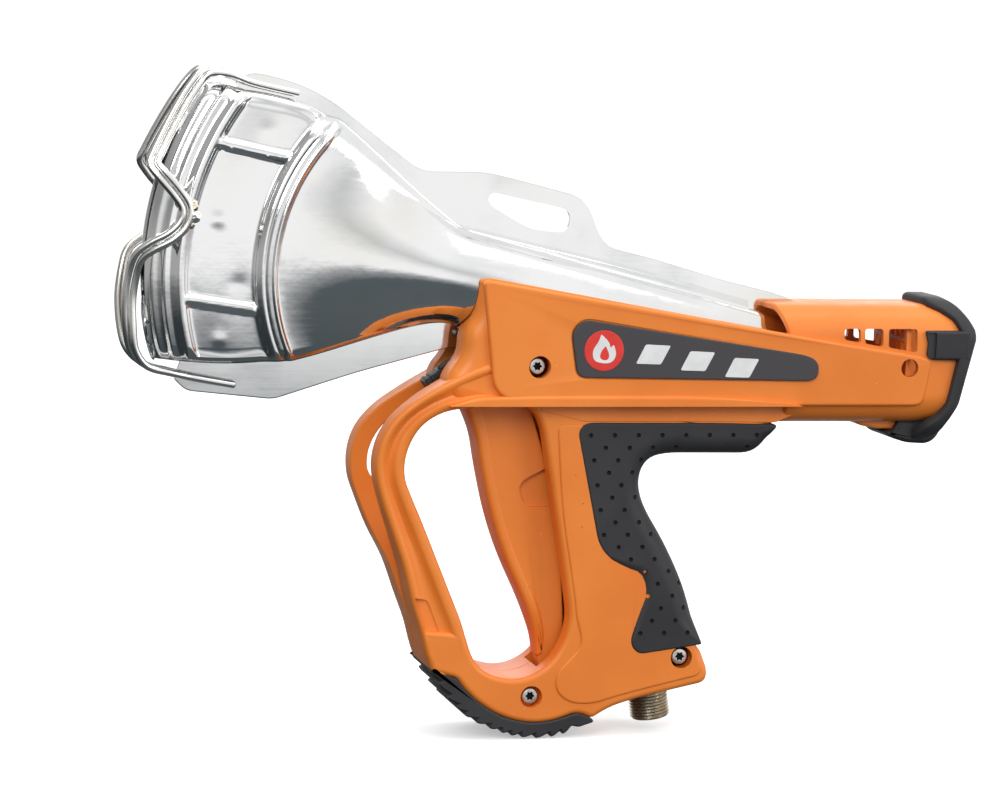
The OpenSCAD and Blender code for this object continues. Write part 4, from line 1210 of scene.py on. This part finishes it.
inlet_tilt = math.radians(9)
inlet_bore, inlet_body = 4, 7.93
thread_pitch, thread_crest, thread_depth = 1.337, 8.33, 0.82
inlet_run = Vector((-math.sin(inlet_tilt), 0, math.cos(inlet_tilt)))
inlet_side = Vector((math.cos(inlet_tilt), 0, math.sin(inlet_tilt)))


def inlet_ring(radius, s, sides=72):
    ring = []
    for k in range(sides):
        a = 2 * math.pi * k / sides
        r = radius(a) if callable(radius) else radius
        ring.append(tuple(inlet_run * s + inlet_side * (r * math.cos(a)) + Vector((0, r * math.sin(a), 0))))
    return ring


def thread(s):
    """The thread's radius at each angle: a left-handed V groove, fading at the chamfered end."""
    def radius(a):
        phase = (s / thread_pitch - a / (2 * math.pi)) % 1
        groove = abs(2 * phase - 1)
        return min(thread_crest - thread_depth * min(1, max(0, groove * 1.25 - 0.12)), 7.35 + 0.9 * s)
    return radius


stub = loft("inlet_stub", [inlet_ring(inlet_bore, 22), inlet_ring(inlet_bore, 0.3), inlet_ring(4.4, 0),
                           inlet_ring(7.2, 0)]
            + [inlet_ring(thread(0.12 + 0.105 * k), 0.12 + 0.105 * k) for k in range(108)]
            + [inlet_ring(inlet_body, 11.7), inlet_ring(inlet_body, 24), inlet_ring(inlet_bore, 24),
               inlet_ring(inlet_bore, 22)], capped=False)
smooth(stub, 60)
stub.data.materials.append(nickel)
place(stub, "nickel_brass", "gun", "gas_inlet_fitting")

# ---- Ignition lead and its clips
# A black lead runs from the igniter out between the guard's legs and back to the electrode.
# Two ribbed plastic clips carry it in the guard's fork.
clips = []
for x, z, tilt in ((-98.2, 141.4, -38), (-93.4, 145, -38)):
    profile = [(2.7, -2.9), (2.7, -2.0), (3.0, -1.7), (3.0, -0.6), (2.6, -0.3), (2.6, 0.4), (3.0, 0.7),
               (3.0, 1.8), (2.7, 2.2), (2.7, 2.9)]
    rings = []
    for r, s in [(1.6, -2.9)] + profile + [(1.6, 2.9)]:
        ring = []
        for k in range(24):
            a = 2 * math.pi * k / 24
            flat = max(abs(math.cos(a)), abs(math.sin(a)))
            local = Vector((s, r * 1.55 * math.cos(a) / flat ** 0.8, r * math.sin(a) / flat ** 0.8))
            t = math.radians(tilt)
            ring.append((x + local.x * math.cos(t) + local.z * math.sin(t), local.y,
                         z - local.x * math.sin(t) + local.z * math.cos(t)))
        rings.append(ring)
    clip = loft("lead_clip", rings)
    smooth(clip)
    clips.append(clip)
clip_set = join("lead_clips", clips)
clip_set.data.materials.append(black_plastic)
place(clip_set, "black_plastic", "gun", "lead_connectors")

# ---- Parts inside, seen through the openings
# The igniter, the gas valve, its pipes and the burner's jet keep their plain turned and moulded shapes.
# They are the frame's own meshes, given finishes that the pieces outside already have, and a glazed ceramic.
ceramic, tree, shader, coords = finish("glazed_ceramic", (0.8, 0.79, 0.74), 0.25)
cloudy = clouds(tree, coords, 200.0, 5.0, 0.3, 0.7)
tree.links.new(two_tone(tree, cloudy, (0.82, 0.81, 0.77), (0.7, 0.68, 0.6)), shader.inputs["Base Color"])
for finish_used, names in (
        (nickel, ("inlet_nut", "feed_pipe", "valve_body", "injector_pipe", "injector_jet")),
        (screw_steel, ("valve_stem", "jet_bracket", "trigger_spring", "electrode")),
        (steel, ("flame_holder",)),
        (orange, ("intake_grille",)),
        (black_plastic, ("nozzle_lock_pin", "ignition_lead", "piezo_body", "inlet_washer")),
        (ceramic, ("electrode_insulator", "piezo_plunger"))):
    for name in names:
        nodes[name].data.materials.clear()
        nodes[name].data.materials.append(finish_used)
